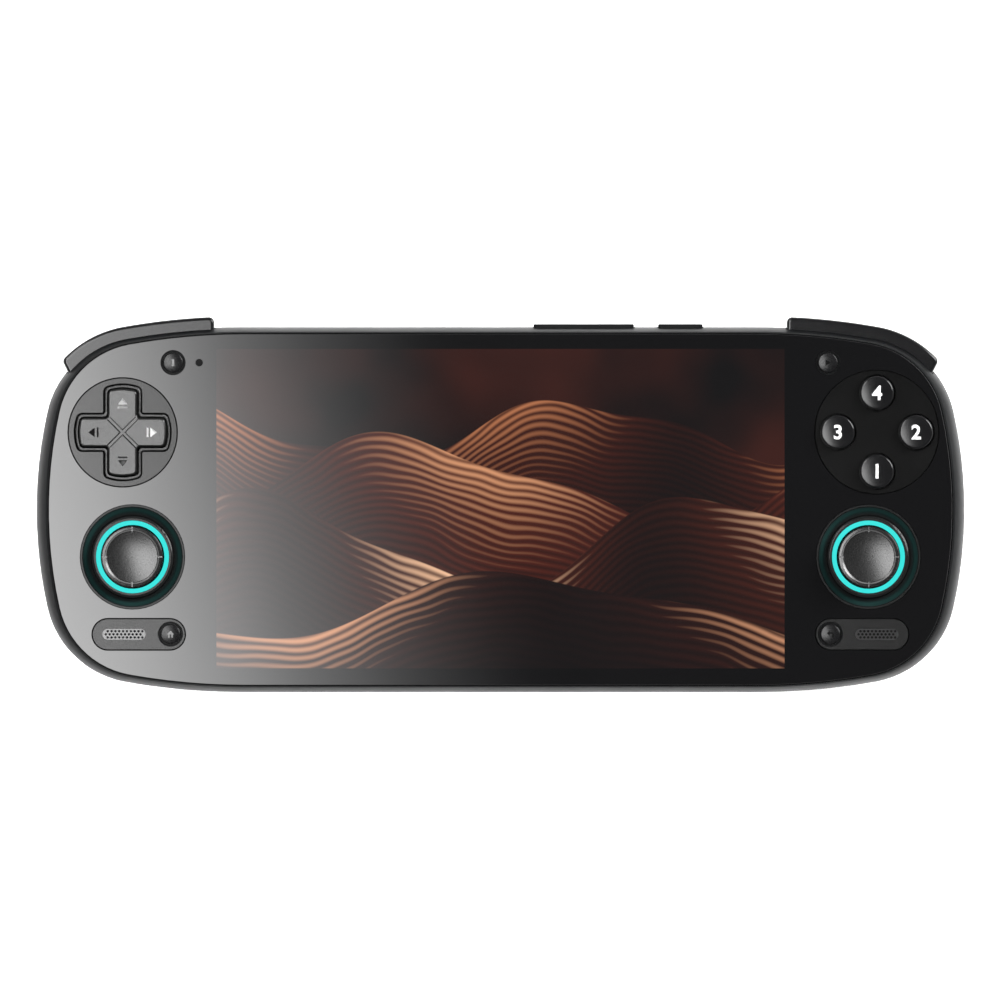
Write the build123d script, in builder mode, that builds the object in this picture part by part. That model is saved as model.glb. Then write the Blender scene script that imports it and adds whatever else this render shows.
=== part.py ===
"""Handheld game console, lying on its back with the screen up.

+X runs to the right of the screen, +Y to the edge with the shoulder buttons, +Z out of the screen.
The origin is under the middle of the whole console, on the surface that its feet stand on.
Lengths are in millimetres.
"""
import os
from math import acos, asin, cos, degrees, radians, sin

from build123d import *

os.makedirs("parts", exist_ok=True)

# Clearances and overruns shared by many pieces
OVERRUN = 2.0
SEAM_GAP = 0.15
SLIDE_GAP = 0.15
SHAFT_GAP = 0.05
PIN_SEAT_GAP = 0.02
PART_GAP = 0.3
LEAST_GAP = 0.05

# Body outline: a flat, then three tangent arcs in each quarter
BODY_HALF_X = 99.6
BODY_HALF_Y = 39.2
BROW_R = 142.7
CORNER_R = 20.84
BROW_TURN = 10.14
CORNER_TURN = 67.24

# Heights, from the feet up
GRIP_DEPTH = 3.4
BODY_T = 15.6
REAR_DEPTH = 8.2
GLASS_T = 1.0
PLATE_T = 1.6
BACK_T = 1.6
WALL = 2.0
BACK_Z = GRIP_DEPTH
GLASS_TOP_Z = BACK_Z + BODY_T
SEAT_Z = GLASS_TOP_Z - GLASS_T
PLATE_Z = SEAT_Z - PLATE_T
PARTING_Z = BACK_Z + REAR_DEPTH
FLOOR_Z = BACK_Z + BACK_T

# Front shell form: shares of its height and of its inset, up to the bright chamfer
RIM_INSET_X = 2.05
RIM_INSET_Y = 1.05
CHAMFER_X = 0.4
CHAMFER_Y = 0.25
CHAMFER_T = 0.4
RIM_DROP = 0.05
RIM_LAND = 0.05
RIM_Z = GLASS_TOP_Z - RIM_DROP - CHAMFER_T
SEAT_INSET_X = RIM_INSET_X + CHAMFER_X + RIM_LAND
SEAT_INSET_Y = RIM_INSET_Y + CHAMFER_Y + RIM_LAND
FRONT_FORM_SHARES = ((0, 0), (0.35, 0.1), (0.66, 0.38), (0.88, 0.72), (1, 1))

# Rear shell form: shares of its depth and of its inset, down to the flat back
BACK_INSET_X = 6.5
BACK_INSET_Y = 5.0
REAR_FORM_SHARES = ((0, 0), (0.38, 0.05), (0.66, 0.2), (0.87, 0.5), (1, 1))
CAVITY_KNEE = 3.5
FLOOR_INSET_X = 5.6
FLOOR_INSET_Y = 4.9
KNEE_INSET = 2.4

# Shoulder buttons
SHOULDER_RISE = 2.3
SHOULDER_DEPTH = 2.2
SHOULDER_OVERLAP = 0.5
SHOULDER_BOTTOM_Z = PARTING_Z - SHOULDER_OVERLAP
SHOULDER_T = 4.9
SHOULDER_END_INSET_X = 38.2
SHOULDER_END_X = BODY_HALF_X - SHOULDER_END_INSET_X
SHOULDER_TIP_INSET_X = 5.2
SHOULDER_TIP_X = BODY_HALF_X - SHOULDER_TIP_INSET_X
SHOULDER_TIP_INSET_Y = 6.5
SHOULDER_TIP_Y = BODY_HALF_Y - SHOULDER_TIP_INSET_Y
SHOULDER_HEEL_INSET_X = 6.3
SHOULDER_HEEL_X = BODY_HALF_X - SHOULDER_HEEL_INSET_X
SHOULDER_HEEL_INSET_Y = 8.7
SHOULDER_HEEL_Y = BODY_HALF_Y - SHOULDER_HEEL_INSET_Y
SHOULDER_EDGE_R = 0.75
SHOULDER_CORNER_R = 1.2
SHOULDER_END_GAP = 0.25
SHOULDER_BAY_INSET = 3.4
SHOULDER_PIVOT_INSET_X = 34.8
SHOULDER_PIVOT_X = BODY_HALF_X - SHOULDER_PIVOT_INSET_X
SHOULDER_PIVOT_INSET_Y = 3.6
SHOULDER_PIVOT_Y = BODY_HALF_Y - SHOULDER_PIVOT_INSET_Y
SHOULDER_EYE_R = 1.7
SHOULDER_EYE_T = 2.6
SHOULDER_PIN_R = 0.75
SHOULDER_PIN_SEAT = 0.6
SHOULDER_TOP_Z = SHOULDER_BOTTOM_Z + SHOULDER_T
SHOULDER_SWITCH_INSET_X = 18.1
SHOULDER_SWITCH_X = BODY_HALF_X - SHOULDER_SWITCH_INSET_X
SHOULDER_SWITCH_INSET_Y = 8.8
SHOULDER_SWITCH_Y = BODY_HALF_Y - SHOULDER_SWITCH_INSET_Y
SHOULDER_SWITCH_L = 2.6
SHOULDER_SWITCH_T = 1.5
SHOULDER_PLUNGER_L = 0.5
SHOULDER_NUB_GAP = 0.6
SHOULDER_NUB_W = 2.4
SHOULDER_NUB_T = 1.6
SHOULDER_NUB_Y = SHOULDER_SWITCH_Y + SHOULDER_SWITCH_L + SHOULDER_PLUNGER_L + SHOULDER_NUB_GAP

# The origin stays under the middle of the whole console, shoulder buttons included
BODY_Y = -SHOULDER_RISE / 2

# Display and glass
ACTIVE_X = 121.8
ACTIVE_Y = 68.5
PANEL_BORDER = 1.8
PANEL_T = 1.7
PANEL_CORNER_R = 0.8
PANEL_X = ACTIVE_X + 2 * PANEL_BORDER
PANEL_Y = ACTIVE_Y + 2 * PANEL_BORDER
WINDOW_X = PANEL_X + 2 * PART_GAP
WINDOW_Y = PANEL_Y + 2 * PART_GAP
GLASS_EDGE_R = 0.15

# Places of the controls, from the body's centre
DPAD_INSET_X = 18.6
DPAD_X = BODY_HALF_X - DPAD_INSET_X
DPAD_Y = 16.55
FACE_INSET_X = 18.9
FACE_X = BODY_HALF_X - FACE_INSET_X
FACE_Y = 16.6
STICK_INSET_X = 20.7
STICK_X = BODY_HALF_X - STICK_INSET_X
STICK_Y = -10.15
UPPER_KEY_INSET_X = 29.4
UPPER_KEY_X = BODY_HALF_X - UPPER_KEY_INSET_X
UPPER_KEY_INSET_Y = 7.7
UPPER_KEY_Y = BODY_HALF_Y - UPPER_KEY_INSET_Y
LOWER_KEY_INSET_X = 28.85
LOWER_KEY_X = BODY_HALF_X - LOWER_KEY_INSET_X
LOWER_KEY_INSET_Y = 12.5
LOWER_KEY_Y = LOWER_KEY_INSET_Y - BODY_HALF_Y
PILL_INSET_X = 22.05
PILL_X = BODY_HALF_X - PILL_INSET_X
PILL_INSET_Y = 12.45
PILL_Y = PILL_INSET_Y - BODY_HALF_Y
GRILLE_INSET_X = 18.9
GRILLE_X = BODY_HALF_X - GRILLE_INSET_X
STATUS_INSET_X = 35.0
STATUS_X = BODY_HALF_X - STATUS_INSET_X
STATUS_Y = UPPER_KEY_Y

# Round surrounds, pills and keys
DPAD_DISC_R = 11.7
FACE_DISC_R = 13.3
PILL_L = 20.0
PILL_W = 6.74
SURROUND_DROP = 0.1
SURROUND_T = GLASS_T - SURROUND_DROP
GRILLE_L = 9.27
GRILLE_W = 2.27
GRILLE_HOLE_R = 0.265
GRILLE_PITCH = 0.826
GRILLE_ROW = 0.67
GRILLE_COUNT = 11
GRILLE_T = 0.4
KEY_R = 2.15
KEY_COLLAR_R = 2.65
KEY_COLLAR_DROP = 0.6
KEY_RISE = 0.5
KEY_DOME = 0.25
KEY_FLANGE_R = 2.9
KEY_FLANGE_T = 0.9
KEY_STEM_R = 1.0
KEY_TRAVEL = 0.3
KEY_EDGE_R = 0.3
STATUS_R = 0.75
STATUS_FLANGE_R = 1.4
STATUS_FLANGE_T = 0.5

# Control boards and switches
CONTROL_GAP = 3.2
CONTROL_T = 1.0
CONTROL_TOP_Z = PLATE_Z - CONTROL_GAP
CONTROL_Z = CONTROL_TOP_Z - CONTROL_T
CONTROL_INSET_X = 2.6
CONTROL_INSET_Y = 5.4
CONTROL_IN_INSET_X = 36.0
CONTROL_IN_X = BODY_HALF_X - CONTROL_IN_INSET_X
SWITCH_W = 3.2
SWITCH_T = 1.1
SWITCH_PLUNGER_R = 0.8
SWITCH_PLUNGER_T = 0.3
KEY_FLANGE_GAP = 0.1
KEY_FLANGE_Z = PLATE_Z - KEY_FLANGE_GAP - KEY_FLANGE_T
KEY_STEM_Z = CONTROL_TOP_Z + SWITCH_T + SWITCH_PLUNGER_T + KEY_TRAVEL + LEAST_GAP

# D-pad
DPAD_SPAN = 19.4
DPAD_ARM = 6.8
DPAD_RISE = 1.6
DPAD_SKIRT = 0.6
DPAD_LEAN = 0.43
DPAD_INNER_R = 0.7
DPAD_OUTER_R = 1.0
DPAD_EDGE_R = 0.35
DPAD_GAP = 0.4
DPAD_BEVEL = 0.42
DPAD_HOLE_SPAN = DPAD_SPAN + 2 * DPAD_GAP
DPAD_HOLE_ARM = DPAD_ARM + 2 * DPAD_GAP
DPAD_PLATE_SPAN = DPAD_SPAN + 2 * (DPAD_GAP + DPAD_BEVEL)
DPAD_PLATE_ARM = DPAD_ARM + 2 * (DPAD_GAP + DPAD_BEVEL)
DPAD_FLANGE_R = 10.3
DPAD_FLANGE_T = 0.8
DPAD_FLANGE_DROP = 0.9
DPAD_FLANGE_Z = PLATE_Z - DPAD_FLANGE_DROP - DPAD_FLANGE_T
DPAD_SKIRT_Z = SEAT_Z + SURROUND_T - DPAD_SKIRT
DPAD_TOP_Z = GLASS_TOP_Z + DPAD_RISE
DPAD_GROOVE_W = 0.85
DPAD_GROOVE_L = 8.6
DPAD_GROOVE_T = 0.25
DPAD_MARK_R = 6.65
DPAD_MARK_L = 1.3
DPAD_MARK_W = 2.0
DPAD_MARK_T = 0.2
DPAD_BAR_L = 0.35
DPAD_BALL_R = 1.35
DPAD_HINGE_Z = CONTROL_TOP_Z + LEAST_GAP + DPAD_BALL_R
DPAD_SEAT_R = 1.6
MEMBRANE_T = 0.5
DPAD_MEMBRANE_R = 10.5
DOME_PLACE_R = 6.8
DOME_R = 2.6
DOME_TOP_R = 1.8

# Face buttons
FACE_PLACE = 8.4
FACE_BUTTON_R = 3.63
FACE_HOLE_GAP = 0.25
FACE_RISE = 1.6
FACE_DOME = 0.15
FACE_EDGE_R = 0.45
FACE_FLANGE_R = 4.3
FACE_FLANGE_T = 0.9
FACE_FLANGE_GAP = 0.1
FACE_FOOT_Z = PLATE_Z - FACE_FLANGE_GAP - FACE_FLANGE_T
FACE_TOP_Z = GLASS_TOP_Z + FACE_RISE
FACE_MEMBRANE_R = 12.4
FACE_DOME_R = 3.0
FACE_DOME_TOP_R = 2.0

# Analogue sticks
WELL_R = 11.3
WELL_PLATE_R = 9.4
BEZEL_R = 11.15
BEZEL_LOWER_R = 9.3
BEZEL_DROP = 1.1
BEZEL_RIM_W = 0.35
BEZEL_RIM_RISE = 0.05
BEZEL_BAND_W = 1.2
BEZEL_BAND_T = 0.7
BEZEL_COLLAR_R = 9.0
BEZEL_COLLAR_RISE = 0.25
BEZEL_COLLAR_SHOULDER = 0.25
BEZEL_COLLAR_TOP_W = 0.45
RING_R = 7.8
RING_W = 0.95
RING_EDGE = 0.12
RING_BOARD_R = 9.2
RING_BOARD_IN_R = 6.9
RING_BOARD_T = 0.6
PIVOT_DROP = 9.0
SKIRT_R = 8.0
SKIRT_T = 0.9
SKIRT_ANGLE = 75.0
NECK_R = 2.6
CAP_R = 6.6
CAP_RISE = 5.6
CAP_T = 1.9
CAP_FLARE = 0.8
CAP_RIM_R = 6.05
CAP_DISH_R = 5.4
CAP_DISH = 0.5
CAP_EDGE_R = 0.5
CAP_TICK_W = 0.3
CAP_TICK_T = 0.25
CAP_BOSS_R = 2.4
CAP_BOSS_LIFT = 3.5
PIVOT_Z = GLASS_TOP_Z - PIVOT_DROP
CAP_TOP_Z = GLASS_TOP_Z + CAP_RISE
CAP_Z = CAP_TOP_Z - CAP_T
CAP_DISH_Z = CAP_TOP_Z - CAP_EDGE_R / 2 - CAP_DISH
CAP_BOWL_R = (CAP_DISH_R**2 + CAP_DISH**2) / (2 * CAP_DISH)
CAP_BOWL_TURN = degrees(asin(CAP_DISH_R / CAP_BOWL_R))
NECK_ANGLE = degrees(asin(NECK_R / SKIRT_R))
BOSS_ANGLE = degrees(acos(CAP_BOSS_R / (SKIRT_R - SKIRT_T)))
BOSS_LIFT_AT_SKIRT = (SKIRT_R - SKIRT_T) * sin(radians(BOSS_ANGLE))
SHAFT_R = 1.5
SHAFT_FOOT = 0.9
SHAFT_CROSS_R = 0.7
SHAFT_TOP_DROP = 3.1
SHAFT_TOP_Z = CAP_TOP_Z - SHAFT_TOP_DROP
YOKE_X = 9.6
YOKE_Y = 7.4
YOKE_T = 2.0
YOKE_SLOT_X = 6.4
YOKE_SLOT_Y = 4.6
TRUNNION_L = 1.4
SADDLE_X = 13.4
SADDLE_Y = 9.0
SADDLE_T = 0.8
SADDLE_DROP = 3.0
EAR_T = 1.0
EAR_GAP = 0.4
EAR_W = 4.0
EAR_RISE = 1.2
EAR_X = YOKE_X / 2 + EAR_GAP + EAR_T / 2
SADDLE_Z = PIVOT_Z - SADDLE_DROP - SADDLE_T
HOUSING_W = 18.0
HOUSING_T = 0.5
HOUSING_CORNER_R = 1.2
HOUSING_LIFT = 0.2
HOUSING_Z = FLOOR_Z + HOUSING_LIFT
BOARD_STICK_R = 9.2

# Case screws and their posts, from the body's centre on both sides
SIDE_SCREW_INSET_X = 7.1
SIDE_SCREW_X = BODY_HALF_X - SIDE_SCREW_INSET_X
SIDE_SCREW_Y = 3.0
UPPER_SCREW_INSET_X = 33.4
UPPER_SCREW_X = BODY_HALF_X - UPPER_SCREW_INSET_X
UPPER_SCREW_INSET_Y = 16.7
UPPER_SCREW_Y = BODY_HALF_Y - UPPER_SCREW_INSET_Y
LOWER_SCREW_INSET_X = 33.8
LOWER_SCREW_X = BODY_HALF_X - LOWER_SCREW_INSET_X
LOWER_SCREW_INSET_Y = 8.2
LOWER_SCREW_Y = LOWER_SCREW_INSET_Y - BODY_HALF_Y
CASE_SCREW_SPOTS = (
    (SIDE_SCREW_X, SIDE_SCREW_Y),
    (UPPER_SCREW_X, UPPER_SCREW_Y),
    (LOWER_SCREW_X, LOWER_SCREW_Y),
)
POST_R = 2.4
POST_BORE_R = 1.0
SCREW_SHANK_R = 0.95
SCREW_HOLE_R = 1.15
SCREW_HEAD_R = 1.9
SCREW_HEAD_T = 1.2
SCREW_POCKET_R = 2.15
SCREW_GRIP = 3.0
HEAD_SEAT_LIFT = 1.0
HEAD_SEAT_Z = FLOOR_Z + HEAD_SEAT_LIFT
DRIVE_R = 0.9
DRIVE_T = 0.7

# Middle frame behind the display
FRAME_X = 126.0
FRAME_Y = 70.0
FRAME_T = 0.8
GASKET_T = 0.4
GASKET_W = 1.6
FRAME_TOP_Z = SEAT_Z - PANEL_T - GASKET_T
FRAME_Z = FRAME_TOP_Z - FRAME_T
FRAME_EAR_X = 65.6
FRAME_EAR_Y = 12.5
FRAME_EAR_R = 1.7
FRAME_BORE_R = 0.8
FRAME_SCREW_R = 0.75
FRAME_SCREW_HEAD_R = 1.4
FRAME_SCREW_HEAD_T = 0.7
FRAME_SCREW_BITE = 1.2
CABLE_SLOT_X = 56.0
CASE_SCREW_L = CONTROL_TOP_Z - HEAD_SEAT_Z + SCREW_GRIP - PART_GAP

# Side keys on the top edge
SIDE_KEY_LIFT = 2.4
SIDE_KEY_Z = PARTING_Z + SIDE_KEY_LIFT
SIDE_KEY_T = 2.4
SIDE_KEY_RISE = 0.6
SIDE_KEY_DEPTH = 2.6
SIDE_KEY_EDGE_R = 0.3
SIDE_KEY_GAP = 0.2
VOLUME_X = 17.87
VOLUME_L = 21.6
VOLUME_NUB_X = 7.5
POWER_X = 38.6
POWER_L = 9.6
SIDE_FLANGE_L = 5.0
SIDE_FLANGE_T = 0.7
SIDE_FLANGE_RISE = 0.6
SIDE_FLANGE_GAP = 0.3
SIDE_NUB_W = 1.6
SIDE_SWITCH_GAP = 0.4
SIDE_SWITCH_T = 0.8
SIDE_BOARD_T = 0.8
SIDE_BOARD_INSET_Y = 5.8
SIDE_BOARD_Y = BODY_HALF_Y - SIDE_BOARD_INSET_Y
SIDE_SWITCH_H = 2.2
SIDE_NUB_L = BODY_HALF_Y - SIDE_KEY_DEPTH - SIDE_BOARD_Y - SIDE_BOARD_T - SIDE_SWITCH_T - SIDE_SWITCH_GAP
VOLUME_SWITCH_SPARE = 0.1
SIDE_TAB_T = 0.6
SIDE_TAB_DROP = 2.9
SIDE_TAB_L = POWER_X - VOLUME_X + (VOLUME_L + POWER_L) / 2
SIDE_TAB_X = (VOLUME_X - VOLUME_L / 2 + POWER_X + POWER_L / 2) / 2

# Triggers, on an axis that follows the corner
TRIGGER_INSET_X = 22.6
TRIGGER_X = BODY_HALF_X - TRIGGER_INSET_X
TRIGGER_INSET_Y = 2.6
TRIGGER_Y = BODY_HALF_Y - TRIGGER_INSET_Y
TRIGGER_TURN = 13.0
TRIGGER_L = 26.0
TRIGGER_RISE = 1.9
TRIGGER_DROP = 2.1
TRIGGER_TOP_Z = PARTING_Z - TRIGGER_DROP
TRIGGER_PIVOT_IN = 3.2
TRIGGER_BARREL_R = 1.7
TRIGGER_PIN_R = 0.75
TRIGGER_LIP_Z = 1.5
TRIGGER_LIP_R = 0.5
TRIGGER_NECK = 0.5
TRIGGER_BROW_X = 0.8
TRIGGER_LIP_X = 2.9
TRIGGER_HOOK_T = 3.0
BAY_DEPTH = 6.2
BAY_WALL = 1.3
BAY_SIDE_GAP = 0.35
BAY_ROOF_GAP = 0.25
BAY_ROOF_T = 1.0
BAY_L = TRIGGER_L + 2 * BAY_SIDE_GAP
BAY_ROOF_Z = TRIGGER_TOP_Z + BAY_ROOF_GAP
BAY_TOP_Z = BAY_ROOF_Z + BAY_ROOF_T
TRIGGER_PIVOT_Z = TRIGGER_TOP_Z - TRIGGER_BARREL_R
TRIGGER_SPRING_R = 1.35
TRIGGER_SPRING_WIRE_R = 0.22
TRIGGER_SPRING_TURNS = 4
TRIGGER_SPRING_SLOT = 4.0

# Grips and feet
GRIP_INSET_X = 23.1
GRIP_X = BODY_HALF_X - GRIP_INSET_X
GRIP_Y = -8.0
GRIP_L = 34.0
GRIP_W = 52.0
GRIP_CORNER_R = 13.0
GRIP_FLAT_SHARE = 0.09
GRIP_FORM_SHARES = ((1.3, 1), (0.48, 0.87), (GRIP_FLAT_SHARE, 0.7))
GRIP_FLAT_Z = GRIP_FLAT_SHARE * GRIP_DEPTH
GRIP_WALL = 1.6
FOOT_R = 3.2
FOOT_T = 0.6
FOOT_SINK = FOOT_T - GRIP_FLAT_Z
FOOT_Y = 12.5

# Main board, cooling and power
BOARD_T = 1.0
BOARD_LIFT = 3.6
BOARD_Z = FLOOR_Z + BOARD_LIFT
BOARD_TOP_Z = BOARD_Z + BOARD_T
BOARD_HALF_X = 58.0
BOARD_LOW_Y = -33.2
BOARD_HIGH_Y = 30.5
BOARD_CORNER_R = 2.0
BOARD_BOSS_X = 55.0
BOARD_BOSS_LOW_Y = -29.5
BOARD_BOSS_HIGH_Y = 27.0
BOARD_BOSS_R = 1.8
BOARD_BOSS_SPOTS = (
    (-BOARD_BOSS_X, BOARD_BOSS_LOW_Y),
    (BOARD_BOSS_X, BOARD_BOSS_LOW_Y),
    (-BOARD_BOSS_X, BOARD_BOSS_HIGH_Y),
    (BOARD_BOSS_X, BOARD_BOSS_HIGH_Y),
)
BOARD_BORE_R = 0.85
BOARD_SCREW_R = 0.8
BOARD_SCREW_HEAD_R = 1.5
BOARD_SCREW_HEAD_T = 0.7
BOARD_SCREW_BITE = 2.4
FAN_X = -30.0
FAN_Y = 15.6
FAN_W = 28.0
FAN_T = 5.6
FAN_WALL = 0.8
FAN_CAVITY_R = 12.8
FAN_INTAKE_R = 8.5
FAN_SHAFT_R = 0.9
BLADE_L = 7.6
ROTOR_HUB_R = 5.5
ROTOR_GAP = 0.35
BLADE_COUNT = 17
BLADE_T = 0.5
BLADE_LEAN = 32.0
DUCT_SIDE = 1.6
PIPE_W = 4.4
PIPE_T = 1.2
PIPE_LIFT = 0.3
FIN_DEPTH = 5.1
FIN_T = 0.35
FIN_COUNT = 15
FIN_BASE_T = 0.5
FIN_LIFT = 5.4
FIN_TOP_Z = FLOOR_Z + FIN_LIFT
CAN_X = 18.0
CAN_Y = 7.0
CAN_L = 34.0
CAN_W = 28.0
CAN_T = BOARD_LIFT - PIPE_LIFT - PIPE_T
CAN_WALL = 0.25
PIPE_Y = FAN_Y + FAN_W / 2 + PIPE_W / 2 + PART_GAP
PIPE_KNEE_OUT = 3.4
PIPE_KNEE_X = FAN_X + FAN_W / 2 + PIPE_W / 2 + PIPE_KNEE_OUT
PIPE_BEND_R = 5.0
BATTERY_X = 98.0
BATTERY_Y = 54.0
BATTERY_T = 4.0
BATTERY_CORNER_R = 2.0
BATTERY_Y_MID = -3.0

# Ports on the bottom edge
PORT_GAP = 0.2
PORT_CUT = 7.0
USB_W = 8.94
USB_H = 3.16
USB_L = 7.35
USB_WALL = 0.3
USB_TONGUE_W = 6.7
USB_TONGUE_T = 0.7
USB_TONGUE_L = 4.45
USB_BACK_T = 1.2
USB_Z = BOARD_Z - USB_H / 2
PORT_FACE_Y = 38.0
JACK_X = -24.0
JACK_W = 6.4
JACK_H = 4.8
JACK_L = 12.0
JACK_BORE_R = 1.8
JACK_BARREL_R = 2.4
JACK_BARREL_L = 2.2
JACK_DEPTH = 12.2
JACK_LIFT = 2.6
JACK_Z = FLOOR_Z + JACK_LIFT
JACK_FACE_Y = 38.2
CARD_X = 26.0
CARD_W = 14.0
CARD_L = 15.0
CARD_H = 1.6
CARD_SLOT_W = 11.4
CARD_SLOT_H = 0.9
CARD_FACE_Y = 36.6
CARD_WALL_T = 0.25

# Vents
INTAKE_COUNT = 7
INTAKE_L = 17.0
INTAKE_W = 1.6
INTAKE_PITCH = 3.0
EXHAUST_COUNT = 9
EXHAUST_L = 2.0
EXHAUST_H = 3.2
EXHAUST_PITCH = 3.0
EXHAUST_LIFT = 3.6
EXHAUST_Z = FLOOR_Z + EXHAUST_LIFT

# Cables, speakers
CABLE_T = 0.2
CABLE_W = 14.0
PLUG_L = 3.0
PLUG_T = 1.0
SPEAKER_L = 14.5
SPEAKER_W = 7.4
SPEAKER_T = 2.5
SPEAKER_CORNER_R = 2.2
SPEAKER_SHIFT = 0.7
SPEAKER_X = GRILLE_X + SPEAKER_SHIFT
MESH_T = 0.2
MESH_MARGIN = 1.4

SIDES = (("left", -1), ("right", 1))

BASE = Plane(origin=(0, BODY_Y, 0))


def level(z):
    """Drawing plane at height z, centred on the body."""
    return BASE.offset(z)


def upright(x, y):
    """Plane through (x, y) whose own axes are outwards to +X and up."""
    return Plane(origin=(x, BODY_Y + y, 0), x_dir=(1, 0, 0), z_dir=(0, -1, 0))


def upright_axis(x, y):
    """The upright line through (x, y)."""
    return Axis((x, BODY_Y + y, 0), (0, 0, 1))


def outline(inset_x, inset_y):
    """The body's outline moved in by the two insets, or out where they are negative."""
    half_x = BODY_HALF_X - inset_x
    half_y = BODY_HALF_Y - inset_y
    brow_r = BROW_R - inset_y
    corner_r = CORNER_R - (inset_x + inset_y) / 2
    first = radians(BROW_TURN)
    both = radians(BROW_TURN + CORNER_TURN)
    fall = brow_r * (1 - cos(first)) + corner_r * (cos(first) - cos(both))
    side_r = (half_y - fall) / cos(both)
    side_turn = 90 - BROW_TURN - CORNER_TURN
    reach = brow_r * sin(first) + corner_r * (sin(both) - sin(first)) + side_r * (1 - sin(both))
    flat_x = half_x - reach
    with BuildSketch() as face:
        with BuildLine():
            top = Line((-flat_x, half_y), (flat_x, half_y))
            a = JernArc(top @ 1, top % 1, brow_r, -BROW_TURN)
            b = JernArc(a @ 1, a % 1, corner_r, -CORNER_TURN)
            c = JernArc(b @ 1, b % 1, side_r, -2 * side_turn)
            d = JernArc(c @ 1, c % 1, corner_r, -CORNER_TURN)
            e = JernArc(d @ 1, d % 1, brow_r, -BROW_TURN)
            bottom = Line(e @ 1, (-flat_x, -half_y))
            f = JernArc(bottom @ 1, bottom % 1, brow_r, -BROW_TURN)
            g = JernArc(f @ 1, f % 1, corner_r, -CORNER_TURN)
            h = JernArc(g @ 1, g % 1, side_r, -2 * side_turn)
            i = JernArc(h @ 1, h % 1, corner_r, -CORNER_TURN)
            JernArc(i @ 1, i % 1, brow_r, -BROW_TURN)
        make_face()
    return face.sketch


def shoulder_region(sign, spread):
    """Area that a shoulder button may fill in plan, grown by spread."""
    high = BODY_HALF_Y + SHOULDER_RISE + OVERRUN
    lean = (SHOULDER_TIP_X - SHOULDER_HEEL_X) / (SHOULDER_TIP_Y - SHOULDER_HEEL_Y)
    low = SHOULDER_HEEL_Y - SHOULDER_DEPTH - OVERRUN
    low_x = SHOULDER_HEEL_X - (SHOULDER_HEEL_Y - low) * lean
    high_x = SHOULDER_HEEL_X + (high - SHOULDER_HEEL_Y) * lean
    points = (
        (SHOULDER_END_X - spread, high),
        (SHOULDER_END_X - spread, low),
        (low_x + spread, low),
        (high_x + spread, high),
    )
    with BuildSketch() as face:
        Polygon(*[(sign * x, y) for x, y in points])
    return face.sketch


def shoulder_band(sign, spread, inner_inset, outer_inset):
    """Plan of a shoulder button: the body's edge between two insets."""
    with BuildSketch() as face:
        add(outline(outer_inset, outer_inset))
        add(outline(inner_inset, inner_inset), mode=Mode.SUBTRACT)
        add(shoulder_region(sign, spread), mode=Mode.INTERSECT)
    return face.sketch


def trigger_plane(sign):
    """Plane across a trigger's pin: its own axes are outwards from the body and up."""
    turn = radians(TRIGGER_TURN)
    outwards = (sign * sin(turn), cos(turn), 0)
    along = (cos(turn), -sign * sin(turn), 0)
    return Plane(origin=(sign * TRIGGER_X, BODY_Y + TRIGGER_Y, 0), x_dir=outwards, z_dir=along)


def dpad_cross(span, arm, inner_r, outer_r):
    """Cross with arm ends that follow a circle."""
    with BuildSketch() as face:
        Rectangle(span, arm)
        Rectangle(arm, span)
        fillet(face.vertices().group_by(lambda v: round(v.center().length, 3))[0], inner_r)
        Circle(span / 2, mode=Mode.INTERSECT)
        corners = face.vertices().filter_by(lambda v: v.center().length > span / 2 - LEAST_GAP)
        fillet(corners, outer_r)
    return face.sketch


def half_disc(radius, z):
    """Right half of a disc at height z, to revolve into a ball."""
    with BuildSketch() as face:
        with Locations((0, z)):
            Circle(radius)
            Rectangle(2 * radius, 2 * radius, align=(Align.MAX, Align.CENTER), mode=Mode.SUBTRACT)
    return face.sketch


def screw(plane, shank_r, length, head_r, head_t):
    """Screw whose head stands above the plane and whose shank runs below it."""
    with BuildPart() as fastener:
        with BuildSketch(plane):
            Circle(head_r)
        extrude(amount=head_t)
        chamfer(fastener.edges().sort_by(Axis(plane.origin, plane.z_dir))[-1], head_t / 4)
        with BuildSketch(plane):
            Circle(shank_r)
        extrude(amount=-length)
        with BuildSketch(plane.offset(head_t)):
            Rectangle(DRIVE_R, DRIVE_R / 3)
            Rectangle(DRIVE_R / 3, DRIVE_R)
        extrude(amount=-min(DRIVE_T, head_t) / 2, mode=Mode.SUBTRACT)
    return fastener.part


def coil(plane, mean_r, wire_r, turns, height):
    """Round-wire coil that starts on the plane and climbs to height."""
    with BuildPart() as spring:
        rise = height - 2 * wire_r
        foot = plane.offset(wire_r).origin
        with BuildLine() as run:
            Helix(pitch=rise / turns, height=rise, radius=mean_r, center=foot, direction=plane.z_dir)
        with BuildSketch(Plane(origin=run.line @ 0, z_dir=run.line % 0)):
            Circle(wire_r)
        sweep(path=run.line)
    return spring.part


def save(piece, name):
    """Label a finished piece and write it."""
    piece.label = name
    export_step(piece, f"parts/{name}.step")


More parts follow.
